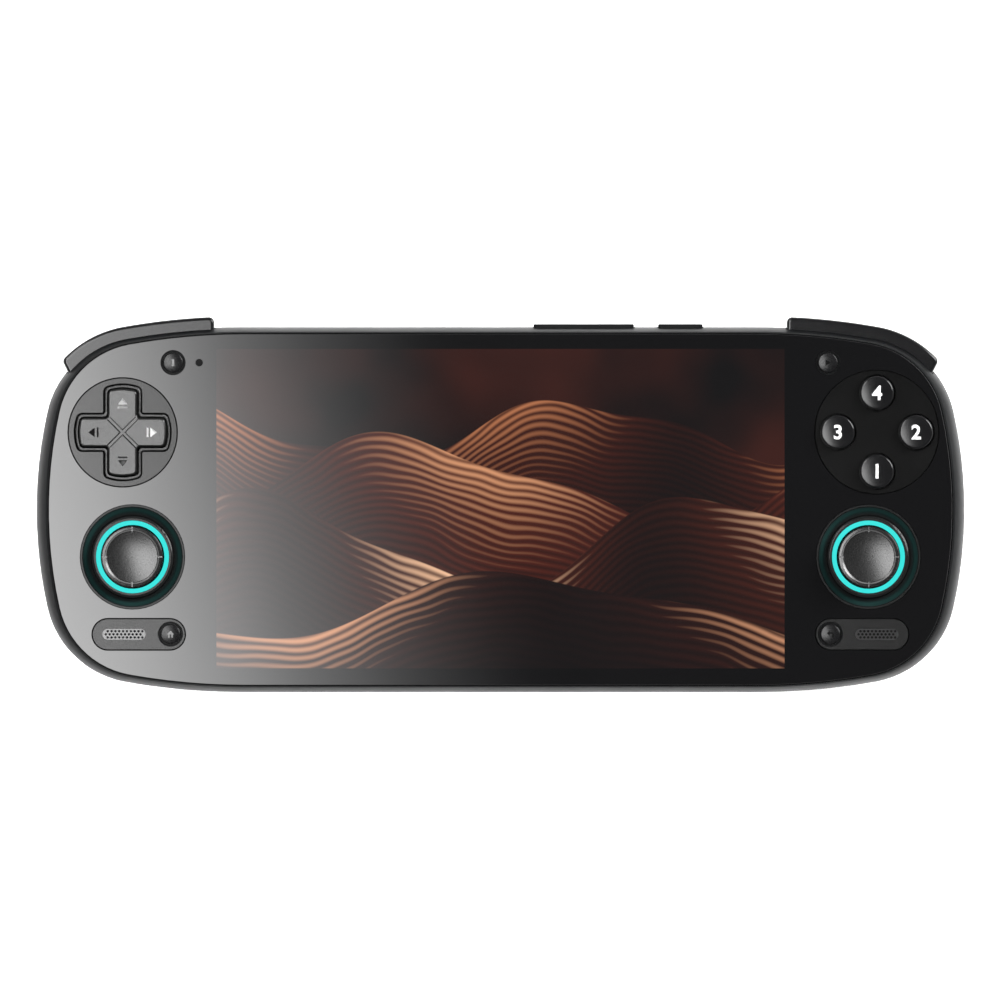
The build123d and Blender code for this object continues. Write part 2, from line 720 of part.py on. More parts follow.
# Front shell: rim, plate under the glass, bosses and openings
with BuildPart() as front_shell:
    for rise_share, inset_share in FRONT_FORM_SHARES:
        with BuildSketch(level(PARTING_Z + rise_share * (RIM_Z - PARTING_Z))):
            add(outline(inset_share * RIM_INSET_X, inset_share * RIM_INSET_Y))
    loft()
    with BuildSketch(level(RIM_Z)):
        add(outline(RIM_INSET_X, RIM_INSET_Y))
    with BuildSketch(level(RIM_Z + CHAMFER_T)):
        add(outline(RIM_INSET_X + CHAMFER_X, RIM_INSET_Y + CHAMFER_Y))
    loft(ruled=True)
    with BuildSketch(level(SEAT_Z)):
        add(outline(SEAT_INSET_X, SEAT_INSET_Y))
    extrude(amount=GLASS_T + OVERRUN, mode=Mode.SUBTRACT)
    with BuildSketch(level(PARTING_Z)):
        add(outline(WALL, WALL))
    extrude(amount=PLATE_Z - PARTING_Z, mode=Mode.SUBTRACT)
    with BuildSketch(level(PLATE_Z)):
        for side, sign in SIDES:
            with Locations(*[(sign * x, y) for x, y in CASE_SCREW_SPOTS]):
                Circle(POST_R)
    extrude(amount=CONTROL_TOP_Z - PLATE_Z)
    with BuildSketch(level(PLATE_Z)):
        with GridLocations(2 * FRAME_EAR_X, 2 * FRAME_EAR_Y, 2, 2):
            Circle(FRAME_EAR_R)
    extrude(amount=FRAME_TOP_Z - PLATE_Z)
    with BuildSketch(level(SEAT_Z)):
        for side, sign in SIDES:
            with Locations((sign * UPPER_KEY_X, UPPER_KEY_Y), (sign * LOWER_KEY_X, LOWER_KEY_Y)):
                Circle(KEY_COLLAR_R)
    extrude(amount=GLASS_T - KEY_COLLAR_DROP)
    with BuildSketch(level(PLATE_Z - OVERRUN)):
        Rectangle(WINDOW_X, WINDOW_Y)
        with Locations((-DPAD_X, DPAD_Y)):
            add(dpad_cross(DPAD_PLATE_SPAN, DPAD_PLATE_ARM, DPAD_INNER_R, DPAD_OUTER_R))
        with Locations((FACE_X, FACE_Y)), PolarLocations(FACE_PLACE, 4):
            Circle(FACE_BUTTON_R + FACE_HOLE_GAP)
        for side, sign in SIDES:
            with Locations((sign * STICK_X, STICK_Y)):
                Circle(WELL_PLATE_R)
            with Locations((sign * UPPER_KEY_X, UPPER_KEY_Y), (sign * LOWER_KEY_X, LOWER_KEY_Y)):
                Circle(KEY_R + SLIDE_GAP)
            with Locations((sign * GRILLE_X, PILL_Y)):
                SlotOverall(GRILLE_L + 2 * PART_GAP, GRILLE_W + 2 * PART_GAP)
        with Locations((-STATUS_X, STATUS_Y)):
            Circle(STATUS_R + LEAST_GAP)
    extrude(amount=GLASS_TOP_Z - PLATE_Z + 2 * OVERRUN, mode=Mode.SUBTRACT)
    with BuildSketch(level(CONTROL_TOP_Z)):
        for side, sign in SIDES:
            with Locations(*[(sign * x, y) for x, y in CASE_SCREW_SPOTS]):
                Circle(POST_BORE_R)
    extrude(amount=SCREW_GRIP, mode=Mode.SUBTRACT)
    with BuildSketch(level(FRAME_TOP_Z)):
        with GridLocations(2 * FRAME_EAR_X, 2 * FRAME_EAR_Y, 2, 2):
            Circle(FRAME_BORE_R)
    extrude(amount=FRAME_SCREW_BITE + PART_GAP, mode=Mode.SUBTRACT)
    with BuildSketch(level(PLATE_Z)):
        with Locations((-SHOULDER_PIVOT_X, SHOULDER_PIVOT_Y), (SHOULDER_PIVOT_X, SHOULDER_PIVOT_Y)):
            Circle(SHOULDER_PIN_R + PIN_SEAT_GAP)
    extrude(amount=SHOULDER_PIN_SEAT, mode=Mode.SUBTRACT)
    with BuildSketch(level(SHOULDER_BOTTOM_Z - SLIDE_GAP)):
        for side, sign in SIDES:
            add(shoulder_band(sign, SHOULDER_END_GAP, SHOULDER_BAY_INSET, -SHOULDER_RISE - OVERRUN))
    extrude(amount=SHOULDER_T + 2 * SLIDE_GAP, mode=Mode.SUBTRACT)
    for key_x, key_l in ((VOLUME_X, VOLUME_L), (POWER_X, POWER_L)):
        with BuildSketch(upright(key_x, BODY_HALF_Y + OVERRUN)):
            with Locations((0, SIDE_KEY_Z)):
                Rectangle(key_l + 2 * SIDE_KEY_GAP, SIDE_KEY_T + 2 * SLIDE_GAP)
        extrude(amount=OVERRUN + WALL + PART_GAP, mode=Mode.SUBTRACT)
save(front_shell.part, "front_shell")

# Rear form: curved sides down to the flat back, and two grips that swell out of it
with BuildPart() as rear_form:
    for depth_share, inset_share in REAR_FORM_SHARES:
        with BuildSketch(level(PARTING_Z - depth_share * REAR_DEPTH)):
            add(outline(inset_share * BACK_INSET_X, inset_share * BACK_INSET_Y))
    loft()
    for side, sign in SIDES:
        for level_share, spread_share in GRIP_FORM_SHARES:
            with BuildSketch(level(level_share * GRIP_DEPTH)):
                with Locations((sign * GRIP_X, GRIP_Y)):
                    RectangleRounded(spread_share * GRIP_L, spread_share * GRIP_W, spread_share * GRIP_CORNER_R)
        loft()

# Trigger bays: closed boxes in the top corners of the rear shell
with BuildPart() as bay_blocks:
    for side, sign in SIDES:
        with BuildSketch(trigger_plane(sign)):
            with Locations((-BAY_DEPTH - BAY_WALL, BACK_Z)):
                Rectangle(2 * BODY_HALF_Y, BAY_TOP_Z - BACK_Z, align=(Align.MIN, Align.MIN))
        extrude(amount=BAY_L / 2 + BAY_WALL, both=True)
    add(rear_form.part, mode=Mode.INTERSECT)

# Rear shell: cavity, posts, bays, ports and vents
with BuildPart() as rear_shell:
    add(rear_form.part)
    with BuildSketch(level(FLOOR_Z)):
        add(outline(FLOOR_INSET_X, FLOOR_INSET_Y))
    with BuildSketch(level(FLOOR_Z + CAVITY_KNEE)):
        add(outline(KNEE_INSET, KNEE_INSET))
    with BuildSketch(level(PARTING_Z)):
        add(outline(WALL, WALL))
    loft(ruled=True, mode=Mode.SUBTRACT)
    for side, sign in SIDES:
        for level_share, spread_share in GRIP_FORM_SHARES:
            length = spread_share * GRIP_L - 2 * GRIP_WALL
            width = spread_share * GRIP_W - 2 * GRIP_WALL
            with BuildSketch(level(level_share * GRIP_DEPTH + GRIP_WALL)):
                with Locations((sign * GRIP_X, GRIP_Y)):
                    RectangleRounded(length, width, spread_share * GRIP_CORNER_R - GRIP_WALL)
        loft(mode=Mode.SUBTRACT)
    add(bay_blocks.part)
    for side, sign in SIDES:
        with BuildSketch(trigger_plane(sign)):
            with Locations((-BAY_DEPTH, -OVERRUN)):
                Rectangle(2 * BODY_HALF_Y, BAY_ROOF_Z + OVERRUN, align=(Align.MIN, Align.MIN))
        extrude(amount=BAY_L / 2, both=True, mode=Mode.SUBTRACT)
        with BuildSketch(trigger_plane(sign)):
            with Locations((-TRIGGER_PIVOT_IN, TRIGGER_PIVOT_Z)):
                Circle(TRIGGER_PIN_R + PIN_SEAT_GAP)
        extrude(amount=BAY_L / 2 + BAY_WALL, both=True, mode=Mode.SUBTRACT)
    with BuildSketch(level(FLOOR_Z)):
        for side, sign in SIDES:
            with Locations(*[(sign * x, y) for x, y in CASE_SCREW_SPOTS]):
                Circle(POST_R)
    extrude(amount=CONTROL_Z - FLOOR_Z)
    with BuildSketch(level(FLOOR_Z)):
        with Locations(*BOARD_BOSS_SPOTS):
            Circle(BOARD_BOSS_R)
    extrude(amount=BOARD_LIFT)
    with BuildSketch(level(-OVERRUN)):
        for side, sign in SIDES:
            with Locations(*[(sign * x, y) for x, y in CASE_SCREW_SPOTS]):
                Circle(SCREW_POCKET_R)
    extrude(amount=HEAD_SEAT_Z + OVERRUN, mode=Mode.SUBTRACT)
    with BuildSketch(level(HEAD_SEAT_Z)):
        for side, sign in SIDES:
            with Locations(*[(sign * x, y) for x, y in CASE_SCREW_SPOTS]):
                Circle(SCREW_HOLE_R)
    extrude(amount=CONTROL_Z - HEAD_SEAT_Z, mode=Mode.SUBTRACT)
    with BuildSketch(level(BOARD_Z)):
        with Locations(*BOARD_BOSS_SPOTS):
            Circle(BOARD_BORE_R)
    extrude(amount=-BOARD_SCREW_BITE - PART_GAP, mode=Mode.SUBTRACT)
    with BuildSketch(level(BAY_TOP_Z)):
        with Locations((-SHOULDER_PIVOT_X, SHOULDER_PIVOT_Y), (SHOULDER_PIVOT_X, SHOULDER_PIVOT_Y)):
            Circle(SHOULDER_PIN_R + PIN_SEAT_GAP)
    extrude(amount=-SHOULDER_PIN_SEAT, mode=Mode.SUBTRACT)
    with BuildSketch(level(SHOULDER_BOTTOM_Z - SLIDE_GAP)):
        for side, sign in SIDES:
            add(shoulder_band(sign, SHOULDER_END_GAP, SHOULDER_BAY_INSET, -SHOULDER_RISE - OVERRUN))
    extrude(amount=SHOULDER_T + 2 * SLIDE_GAP, mode=Mode.SUBTRACT)
    with BuildSketch(level(GRIP_FLAT_Z - OVERRUN)):
        for side, sign in SIDES:
            with Locations((sign * GRIP_X, GRIP_Y - FOOT_Y), (sign * GRIP_X, GRIP_Y + FOOT_Y)):
                Circle(FOOT_R + SEAM_GAP)
    extrude(amount=OVERRUN + FOOT_SINK, mode=Mode.SUBTRACT)
    with BuildSketch(level(BACK_Z - OVERRUN)):
        with Locations((FAN_X, FAN_Y)), GridLocations(0, INTAKE_PITCH, 1, INTAKE_COUNT):
            SlotOverall(INTAKE_L, INTAKE_W)
    extrude(amount=BACK_T + 2 * OVERRUN, mode=Mode.SUBTRACT)
    with BuildSketch(upright(0, BODY_HALF_Y + OVERRUN)):
        with Locations((FAN_X, EXHAUST_Z)), GridLocations(EXHAUST_PITCH, 0, EXHAUST_COUNT, 1):
            RectangleRounded(EXHAUST_L, EXHAUST_H, EXHAUST_L / 4)
    extrude(amount=OVERRUN + PORT_CUT, mode=Mode.SUBTRACT)
    with BuildSketch(upright(0, -BODY_HALF_Y - OVERRUN)):
        with Locations((0, USB_Z)):
            SlotOverall(USB_W + 2 * PORT_GAP, USB_H + 2 * PORT_GAP)
        with Locations((JACK_X, JACK_Z)):
            Circle(JACK_BARREL_R + PORT_GAP)
        with Locations((CARD_X, BOARD_Z - CARD_H / 2)):
            RectangleRounded(CARD_SLOT_W + 4 * PORT_GAP, CARD_SLOT_H + 4 * PORT_GAP, CARD_SLOT_H / 2)
    extrude(amount=-OVERRUN - PORT_CUT, mode=Mode.SUBTRACT)
    with BuildSketch(upright(JACK_X, -JACK_FACE_Y + JACK_BARREL_L - PORT_GAP)):
        with Locations((0, JACK_Z)):
            Rectangle(JACK_W + 2 * PORT_GAP, JACK_H + 2 * PORT_GAP)
    extrude(amount=-PORT_CUT, mode=Mode.SUBTRACT)
    with BuildSketch(upright(CARD_X, -CARD_FACE_Y - PORT_GAP)):
        with Locations((0, BOARD_Z - CARD_H / 2)):
            Rectangle(CARD_W + 2 * PORT_GAP, CARD_H + 2 * PORT_GAP)
    extrude(amount=-PORT_CUT, mode=Mode.SUBTRACT)
save(rear_shell.part, "rear_shell")

# Front glass over the whole face, with openings for the controls
with BuildPart() as front_glass:
    with BuildSketch(level(SEAT_Z)):
        add(outline(SEAT_INSET_X + SEAM_GAP, SEAT_INSET_Y + SEAM_GAP))
        with Locations((-DPAD_X, DPAD_Y)):
            Circle(DPAD_DISC_R + SEAM_GAP, mode=Mode.SUBTRACT)
        with Locations((FACE_X, FACE_Y)):
            Circle(FACE_DISC_R + SEAM_GAP, mode=Mode.SUBTRACT)
        for side, sign in SIDES:
            with Locations((sign * STICK_X, STICK_Y)):
                Circle(WELL_R, mode=Mode.SUBTRACT)
            with Locations((sign * UPPER_KEY_X, UPPER_KEY_Y)):
                Circle(KEY_COLLAR_R + LEAST_GAP, mode=Mode.SUBTRACT)
            with Locations((sign * PILL_X, PILL_Y)):
                SlotOverall(PILL_L + 2 * SEAM_GAP, PILL_W + 2 * SEAM_GAP, mode=Mode.SUBTRACT)
        with Locations((-STATUS_X, STATUS_Y)):
            Circle(STATUS_R + LEAST_GAP, mode=Mode.SUBTRACT)
    extrude(amount=GLASS_T)
    chamfer(front_glass.faces().sort_by(Axis.Z)[-1].outer_wire().edges(), GLASS_EDGE_R)
save(front_glass.part, "front_glass")

# Display panel behind the glass, with its foam gasket and the middle frame
with BuildPart() as display_panel:
    with BuildSketch(level(SEAT_Z - PANEL_T)):
        RectangleRounded(PANEL_X, PANEL_Y, PANEL_CORNER_R)
    extrude(amount=PANEL_T)
save(display_panel.part, "display_panel")

with BuildPart() as display_gasket:
    with BuildSketch(level(FRAME_TOP_Z)):
        Rectangle(FRAME_X - GASKET_W, FRAME_Y - GASKET_W)
        Rectangle(FRAME_X - 3 * GASKET_W, FRAME_Y - 3 * GASKET_W, mode=Mode.SUBTRACT)
    extrude(amount=GASKET_T)
save(display_gasket.part, "display_gasket")

with BuildPart() as middle_frame:
    with BuildSketch(level(FRAME_Z)):
        Rectangle(FRAME_X, FRAME_Y)
        with GridLocations(2 * FRAME_EAR_X, 2 * FRAME_EAR_Y, 2, 2):
            SlotOverall(4 * FRAME_EAR_R, 2 * FRAME_EAR_R)
        with Locations((CABLE_SLOT_X, 0)):
            Rectangle(2 * PART_GAP + CABLE_T, CABLE_W + 2 * PART_GAP, mode=Mode.SUBTRACT)
        with GridLocations(2 * FRAME_EAR_X, 2 * FRAME_EAR_Y, 2, 2):
            Circle(FRAME_BORE_R, mode=Mode.SUBTRACT)
    extrude(amount=FRAME_T)
    with BuildSketch(level(FRAME_Z)):
        with Locations((SIDE_TAB_X, SIDE_BOARD_Y - SIDE_TAB_T / 2)):
            Rectangle(SIDE_TAB_L, SIDE_TAB_T)
    extrude(amount=-SIDE_TAB_DROP)
save(middle_frame.part, "middle_frame")

with BuildPart() as inner_screws:
    for x, y in ((-1, -1), (-1, 1), (1, -1), (1, 1)):
        seat = Plane(origin=(x * FRAME_EAR_X, BODY_Y + y * FRAME_EAR_Y, FRAME_Z), z_dir=(0, 0, -1))
        add(screw(seat, FRAME_SCREW_R, FRAME_T + FRAME_SCREW_BITE, FRAME_SCREW_HEAD_R, FRAME_SCREW_HEAD_T))
    for x, y in BOARD_BOSS_SPOTS:
        seat = Plane(origin=(x, BODY_Y + y, BOARD_TOP_Z))
        add(screw(seat, BOARD_SCREW_R, BOARD_T + BOARD_SCREW_BITE, BOARD_SCREW_HEAD_R, BOARD_SCREW_HEAD_T))
save(inner_screws.part, "inner_screws")

with BuildPart() as case_screws:
    for side, sign in SIDES:
        for x, y in CASE_SCREW_SPOTS:
            seat = Plane(origin=(sign * x, BODY_Y + y, HEAD_SEAT_Z), z_dir=(0, 0, -1))
            add(screw(seat, SCREW_SHANK_R, CASE_SCREW_L, SCREW_HEAD_R, SCREW_HEAD_T))
save(case_screws.part, "case_screws")

# Surrounds: textured inserts that fill the glass openings
with BuildPart() as dpad_surround:
    with BuildSketch(level(SEAT_Z)):
        with Locations((-DPAD_X, DPAD_Y)):
            Circle(DPAD_DISC_R)
            add(dpad_cross(DPAD_HOLE_SPAN, DPAD_HOLE_ARM, DPAD_INNER_R, DPAD_OUTER_R), mode=Mode.SUBTRACT)
    extrude(amount=SURROUND_T)
    hole_rim = dpad_surround.faces().sort_by(Axis.Z)[-1].inner_wires().edges()
    chamfer(hole_rim, DPAD_BEVEL)
    chamfer(dpad_surround.faces().sort_by(Axis.Z)[-1].outer_wire().edges(), GLASS_EDGE_R)
save(dpad_surround.part, "dpad_surround")

with BuildPart() as face_button_surround:
    with BuildSketch(level(SEAT_Z)):
        with Locations((FACE_X, FACE_Y)):
            Circle(FACE_DISC_R)
        with Locations((FACE_X, FACE_Y)), PolarLocations(FACE_PLACE, 4):
            Circle(FACE_BUTTON_R + FACE_HOLE_GAP, mode=Mode.SUBTRACT)
    extrude(amount=SURROUND_T)
    chamfer(face_button_surround.edges().group_by(Axis.Z)[-1], GLASS_EDGE_R)
save(face_button_surround.part, "face_button_surround")

with BuildPart() as grille_plates:
    for side, sign in SIDES:
        with BuildSketch(level(SEAT_Z)):
            with Locations((sign * PILL_X, PILL_Y)):
                SlotOverall(PILL_L, PILL_W)
            with Locations((sign * LOWER_KEY_X, LOWER_KEY_Y)):
                Circle(KEY_COLLAR_R + LEAST_GAP, mode=Mode.SUBTRACT)
        extrude(amount=SURROUND_T)
    for top in grille_plates.faces().group_by(Axis.Z)[-1]:
        chamfer(top.outer_wire().edges(), GLASS_EDGE_R)
    with BuildSketch(level(SEAT_Z)):
        for side, sign in SIDES:
            with Locations((sign * GRILLE_X, PILL_Y)):
                SlotOverall(GRILLE_L, GRILLE_W)
    extrude(amount=SURROUND_T - GRILLE_T, mode=Mode.SUBTRACT)
    with BuildSketch(level(SEAT_Z)):
        for side, sign in SIDES:
            for row in (-1, 0, 1):
                shift = GRILLE_PITCH / 4 if row else -GRILLE_PITCH / 4
                with Locations((sign * GRILLE_X + shift, PILL_Y + row * GRILLE_ROW)):
                    with GridLocations(GRILLE_PITCH, 0, GRILLE_COUNT - 1, 1):
                        Circle(GRILLE_HOLE_R)
    extrude(amount=GLASS_T, mode=Mode.SUBTRACT)
save(grille_plates.part, "grille_plates")

with BuildPart() as speaker_meshes:
    with BuildSketch(level(PLATE_Z)):
        for side, sign in SIDES:
            with Locations((sign * GRILLE_X, PILL_Y)):
                SlotOverall(GRILLE_L + 2 * MESH_MARGIN, GRILLE_W + 2 * MESH_MARGIN)
    extrude(amount=-MESH_T)
save(speaker_meshes.part, "speaker_meshes")

with BuildPart() as speakers:
    with BuildSketch(level(PLATE_Z - MESH_T)):
        for side, sign in SIDES:
            with Locations((sign * SPEAKER_X, PILL_Y)):
                RectangleRounded(SPEAKER_L, SPEAKER_W, SPEAKER_CORNER_R)
    extrude(amount=-SPEAKER_T)
save(speakers.part, "speakers")

# D-pad: tapered cross with a domed top, groove and marks, on a retaining flange
dpad_plane = Plane(origin=(-DPAD_X, BODY_Y + DPAD_Y, 0))
with BuildPart() as dpad:
    with BuildSketch(dpad_plane.offset(DPAD_SKIRT_Z)):
        add(dpad_cross(DPAD_SPAN, DPAD_ARM, DPAD_INNER_R, DPAD_OUTER_R))
    with BuildSketch(dpad_plane.offset(DPAD_TOP_Z)):
        add(dpad_cross(DPAD_SPAN - 2 * DPAD_LEAN, DPAD_ARM - 2 * DPAD_LEAN, DPAD_INNER_R, DPAD_OUTER_R))
    loft(ruled=True)
    fillet(dpad.faces().sort_by(Axis.Z)[-1].edges(), DPAD_EDGE_R)
    with BuildSketch(dpad_plane.offset(DPAD_FLANGE_Z)):
        add(dpad_cross(DPAD_SPAN, DPAD_ARM, DPAD_INNER_R, DPAD_OUTER_R))
    extrude(amount=DPAD_SKIRT_Z - DPAD_FLANGE_Z)
    with BuildSketch(dpad_plane.offset(DPAD_FLANGE_Z)):
        Circle(DPAD_FLANGE_R)
    extrude(amount=DPAD_FLANGE_T)
    with BuildSketch(dpad_plane.offset(DPAD_TOP_Z)):
        Rectangle(DPAD_GROOVE_L, DPAD_GROOVE_W, rotation=45)
        Rectangle(DPAD_GROOVE_L, DPAD_GROOVE_W, rotation=-45)
    extrude(amount=-DPAD_GROOVE_T, mode=Mode.SUBTRACT)
    with BuildSketch(dpad_plane.offset(DPAD_TOP_Z)):
        with PolarLocations(DPAD_MARK_R, 4):
            half_l = DPAD_MARK_L / 2
            Polygon((half_l, 0), (-half_l, DPAD_MARK_W / 2), (-half_l, -DPAD_MARK_W / 2))
        with PolarLocations(DPAD_MARK_R - DPAD_MARK_L / 2 - 2 * DPAD_BAR_L, 4):
            Rectangle(DPAD_BAR_L, DPAD_MARK_W)
    extrude(amount=-DPAD_MARK_T, mode=Mode.SUBTRACT)
    with BuildSketch(upright(-DPAD_X, DPAD_Y)):
        add(half_disc(DPAD_BALL_R + LEAST_GAP, DPAD_HINGE_Z))
    revolve(axis=upright_axis(-DPAD_X, DPAD_Y), mode=Mode.SUBTRACT)
save(dpad.part, "dpad")

# Pivot ball that the D-pad rocks on, and the silicone sheet with a dome under each arm
with BuildPart() as dpad_pivot:
    with BuildSketch(upright(-DPAD_X, DPAD_Y)):
        add(half_disc(DPAD_BALL_R, DPAD_HINGE_Z))
    revolve(axis=upright_axis(-DPAD_X, DPAD_Y))
save(dpad_pivot.part, "dpad_pivot")

with BuildPart() as dpad_membrane:
    with BuildSketch(dpad_plane.offset(CONTROL_TOP_Z)):
        Circle(DPAD_MEMBRANE_R)
        Circle(DPAD_SEAT_R, mode=Mode.SUBTRACT)
    extrude(amount=MEMBRANE_T)
    for turn in range(4):
        dome_x = DOME_PLACE_R * cos(radians(90 * turn))
        dome_y = DOME_PLACE_R * sin(radians(90 * turn))
        with BuildSketch(dpad_plane.offset(CONTROL_TOP_Z + MEMBRANE_T)):
            with Locations((dome_x, dome_y)):
                Circle(DOME_R)
        with BuildSketch(dpad_plane.offset(DPAD_FLANGE_Z)):
            with Locations((dome_x, dome_y)):
                Circle(DOME_TOP_R)
        loft()
save(dpad_membrane.part, "dpad_membrane")

# Face buttons: four round keys on one silicone sheet
face_plane = Plane(origin=(FACE_X, BODY_Y + FACE_Y, 0))
FACE_SPOTS = (("right", 1, 0), ("top", 0, 1), ("left", -1, 0), ("bottom", 0, -1))
for spot, step_x, step_y in FACE_SPOTS:
    centre_x = FACE_X + step_x * FACE_PLACE
    centre_y = FACE_Y + step_y * FACE_PLACE
    with BuildPart() as face_button:
        with BuildSketch(upright(centre_x, centre_y)):
            with BuildLine():
                foot = Polyline(
                    (0, FACE_FOOT_Z),
                    (FACE_FLANGE_R, FACE_FOOT_Z),
                    (FACE_FLANGE_R, FACE_FOOT_Z + FACE_FLANGE_T),
                    (FACE_BUTTON_R, FACE_FOOT_Z + FACE_FLANGE_T),
                    (FACE_BUTTON_R, FACE_TOP_Z - FACE_DOME),
                )
                crown = ThreePointArc(
                    foot @ 1,
                    (FACE_BUTTON_R / 2, FACE_TOP_Z - FACE_DOME / 4),
                    (0, FACE_TOP_Z),
                )
                Line(crown @ 1, foot @ 0)
            make_face()
        revolve(axis=upright_axis(centre_x, centre_y))
        wall = face_button.faces().filter_by(GeomType.CYLINDER).sort_by(Axis.Z)[-1]
        fillet(wall.edges().filter_by(GeomType.CIRCLE).sort_by(Axis.Z)[-1], FACE_EDGE_R)
    save(face_button.part, f"face_button_{spot}")

with BuildPart() as face_button_membrane:
    with BuildSketch(face_plane.offset(CONTROL_TOP_Z)):
        Circle(FACE_MEMBRANE_R)
    extrude(amount=MEMBRANE_T)
    for spot, step_x, step_y in FACE_SPOTS:
        with BuildSketch(face_plane.offset(CONTROL_TOP_Z + MEMBRANE_T)):
            with Locations((step_x * FACE_PLACE, step_y * FACE_PLACE)):
                Circle(FACE_DOME_R)
        with BuildSketch(face_plane.offset(FACE_FOOT_Z)):
            with Locations((step_x * FACE_PLACE, step_y * FACE_PLACE)):
                Circle(FACE_DOME_TOP_R)
        loft()
save(face_button_membrane.part, "face_button_membrane")

# Small round keys and the switches under them
SMALL_KEYS = (
    ("select_button", -UPPER_KEY_X, UPPER_KEY_Y),
    ("start_button", UPPER_KEY_X, UPPER_KEY_Y),
    ("home_button", -LOWER_KEY_X, LOWER_KEY_Y),
    ("back_button", LOWER_KEY_X, LOWER_KEY_Y),
)
for name, centre_x, centre_y in SMALL_KEYS:
    with BuildPart() as small_key:
        with BuildSketch(upright(centre_x, centre_y)):
            with BuildLine():
                stem = Polyline(
                    (0, KEY_STEM_Z),
                    (KEY_STEM_R, KEY_STEM_Z),
                    (KEY_STEM_R, KEY_FLANGE_Z),
                    (KEY_FLANGE_R, KEY_FLANGE_Z),
                    (KEY_FLANGE_R, KEY_FLANGE_Z + KEY_FLANGE_T),
                    (KEY_R, KEY_FLANGE_Z + KEY_FLANGE_T),
                    (KEY_R, GLASS_TOP_Z + KEY_RISE - KEY_DOME),
                )
                key_crown = ThreePointArc(
                    stem @ 1,
                    (KEY_R / 2, GLASS_TOP_Z + KEY_RISE - KEY_DOME / 4),
                    (0, GLASS_TOP_Z + KEY_RISE),
                )
                Line(key_crown @ 1, stem @ 0)
            make_face()
        revolve(axis=upright_axis(centre_x, centre_y))
        wall = small_key.faces().filter_by(GeomType.CYLINDER).sort_by(Axis.Z)[-1]
        fillet(wall.edges().filter_by(GeomType.CIRCLE).sort_by(Axis.Z)[-1], KEY_EDGE_R)
    save(small_key.part, name)

with BuildPart() as switches:
    with BuildSketch(level(CONTROL_TOP_Z)):
        with Locations(*[(x, y) for name, x, y in SMALL_KEYS]):
            Rectangle(SWITCH_W, SWITCH_W)
    extrude(amount=SWITCH_T)
    with BuildSketch(level(CONTROL_TOP_Z + SWITCH_T)):
        with Locations(*[(x, y) for name, x, y in SMALL_KEYS]):
            Circle(SWITCH_PLUNGER_R)
    extrude(amount=SWITCH_PLUNGER_T)
    with BuildSketch(level(CONTROL_TOP_Z)):
        for side, sign in SIDES:
            with Locations((sign * SHOULDER_SWITCH_X, SHOULDER_SWITCH_Y)):
                Rectangle(SWITCH_W, SHOULDER_SWITCH_L, align=(Align.CENTER, Align.MIN))
    extrude(amount=SHOULDER_SWITCH_T)
    with BuildSketch(level(CONTROL_TOP_Z + SHOULDER_SWITCH_T / 4)):
        for side, sign in SIDES:
            with Locations((sign * SHOULDER_SWITCH_X, SHOULDER_SWITCH_Y)):
                Rectangle(SWITCH_W / 2, SHOULDER_SWITCH_L + SHOULDER_PLUNGER_L, align=(Align.CENTER, Align.MIN))
    extrude(amount=SHOULDER_SWITCH_T / 2)
    with BuildSketch(upright(0, SIDE_BOARD_Y + SIDE_BOARD_T + SIDE_SWITCH_T)):
        with Locations((VOLUME_X, SIDE_KEY_Z)), GridLocations(2 * VOLUME_NUB_X, 0, 2, 1):
            Rectangle(SWITCH_W, SIDE_SWITCH_H)
        with Locations((POWER_X, SIDE_KEY_Z)):
            Rectangle(SWITCH_W, SIDE_SWITCH_H)
    extrude(amount=SIDE_SWITCH_T)
save(switches.part, "switches")

with BuildPart() as status_light_pipe:
    with BuildSketch(upright(-STATUS_X, STATUS_Y)):
        Polygon(
            (0, CONTROL_TOP_Z + PART_GAP),
            (STATUS_R, CONTROL_TOP_Z + PART_GAP),
            (STATUS_R, PLATE_Z - STATUS_FLANGE_T),
            (STATUS_FLANGE_R, PLATE_Z - STATUS_FLANGE_T),
            (STATUS_FLANGE_R, PLATE_Z),
            (STATUS_R, PLATE_Z),
            (STATUS_R, GLASS_TOP_Z - SURROUND_DROP),
            (0, GLASS_TOP_Z - SURROUND_DROP),
        )
    revolve(axis=upright_axis(-STATUS_X, STATUS_Y))
save(status_light_pipe.part, "status_light_pipe")

# Analogue sticks: bezels, light rings and open housings stay with the shells
with BuildPart() as stick_bezels:
    for side, sign in SIDES:
        with BuildSketch(upright(sign * STICK_X, STICK_Y)):
            with BuildLine():
                low = Polyline(
                    (RING_R + LEAST_GAP, GLASS_TOP_Z + BEZEL_COLLAR_RISE),
                    (RING_R + LEAST_GAP, SEAT_Z - BEZEL_DROP),
                    (BEZEL_LOWER_R, SEAT_Z - BEZEL_DROP),
                    (BEZEL_LOWER_R, SEAT_Z),
                    (BEZEL_R, SEAT_Z),
                    (BEZEL_R, GLASS_TOP_Z + BEZEL_RIM_RISE),
                    (BEZEL_R - BEZEL_RIM_W, GLASS_TOP_Z + BEZEL_RIM_RISE),
                    (BEZEL_R - BEZEL_RIM_W - BEZEL_BAND_W, GLASS_TOP_Z - BEZEL_BAND_T),
                    (BEZEL_COLLAR_R, GLASS_TOP_Z - BEZEL_BAND_T),
                )
                collar = ThreePointArc(
                    low @ 1,
                    (BEZEL_COLLAR_R - BEZEL_COLLAR_SHOULDER, GLASS_TOP_Z),
                    (RING_R + BEZEL_COLLAR_TOP_W, GLASS_TOP_Z + BEZEL_COLLAR_RISE),
                )
                Line(collar @ 1, low @ 0)
            make_face()
        revolve(axis=upright_axis(sign * STICK_X, STICK_Y))
save(stick_bezels.part, "stick_bezels")

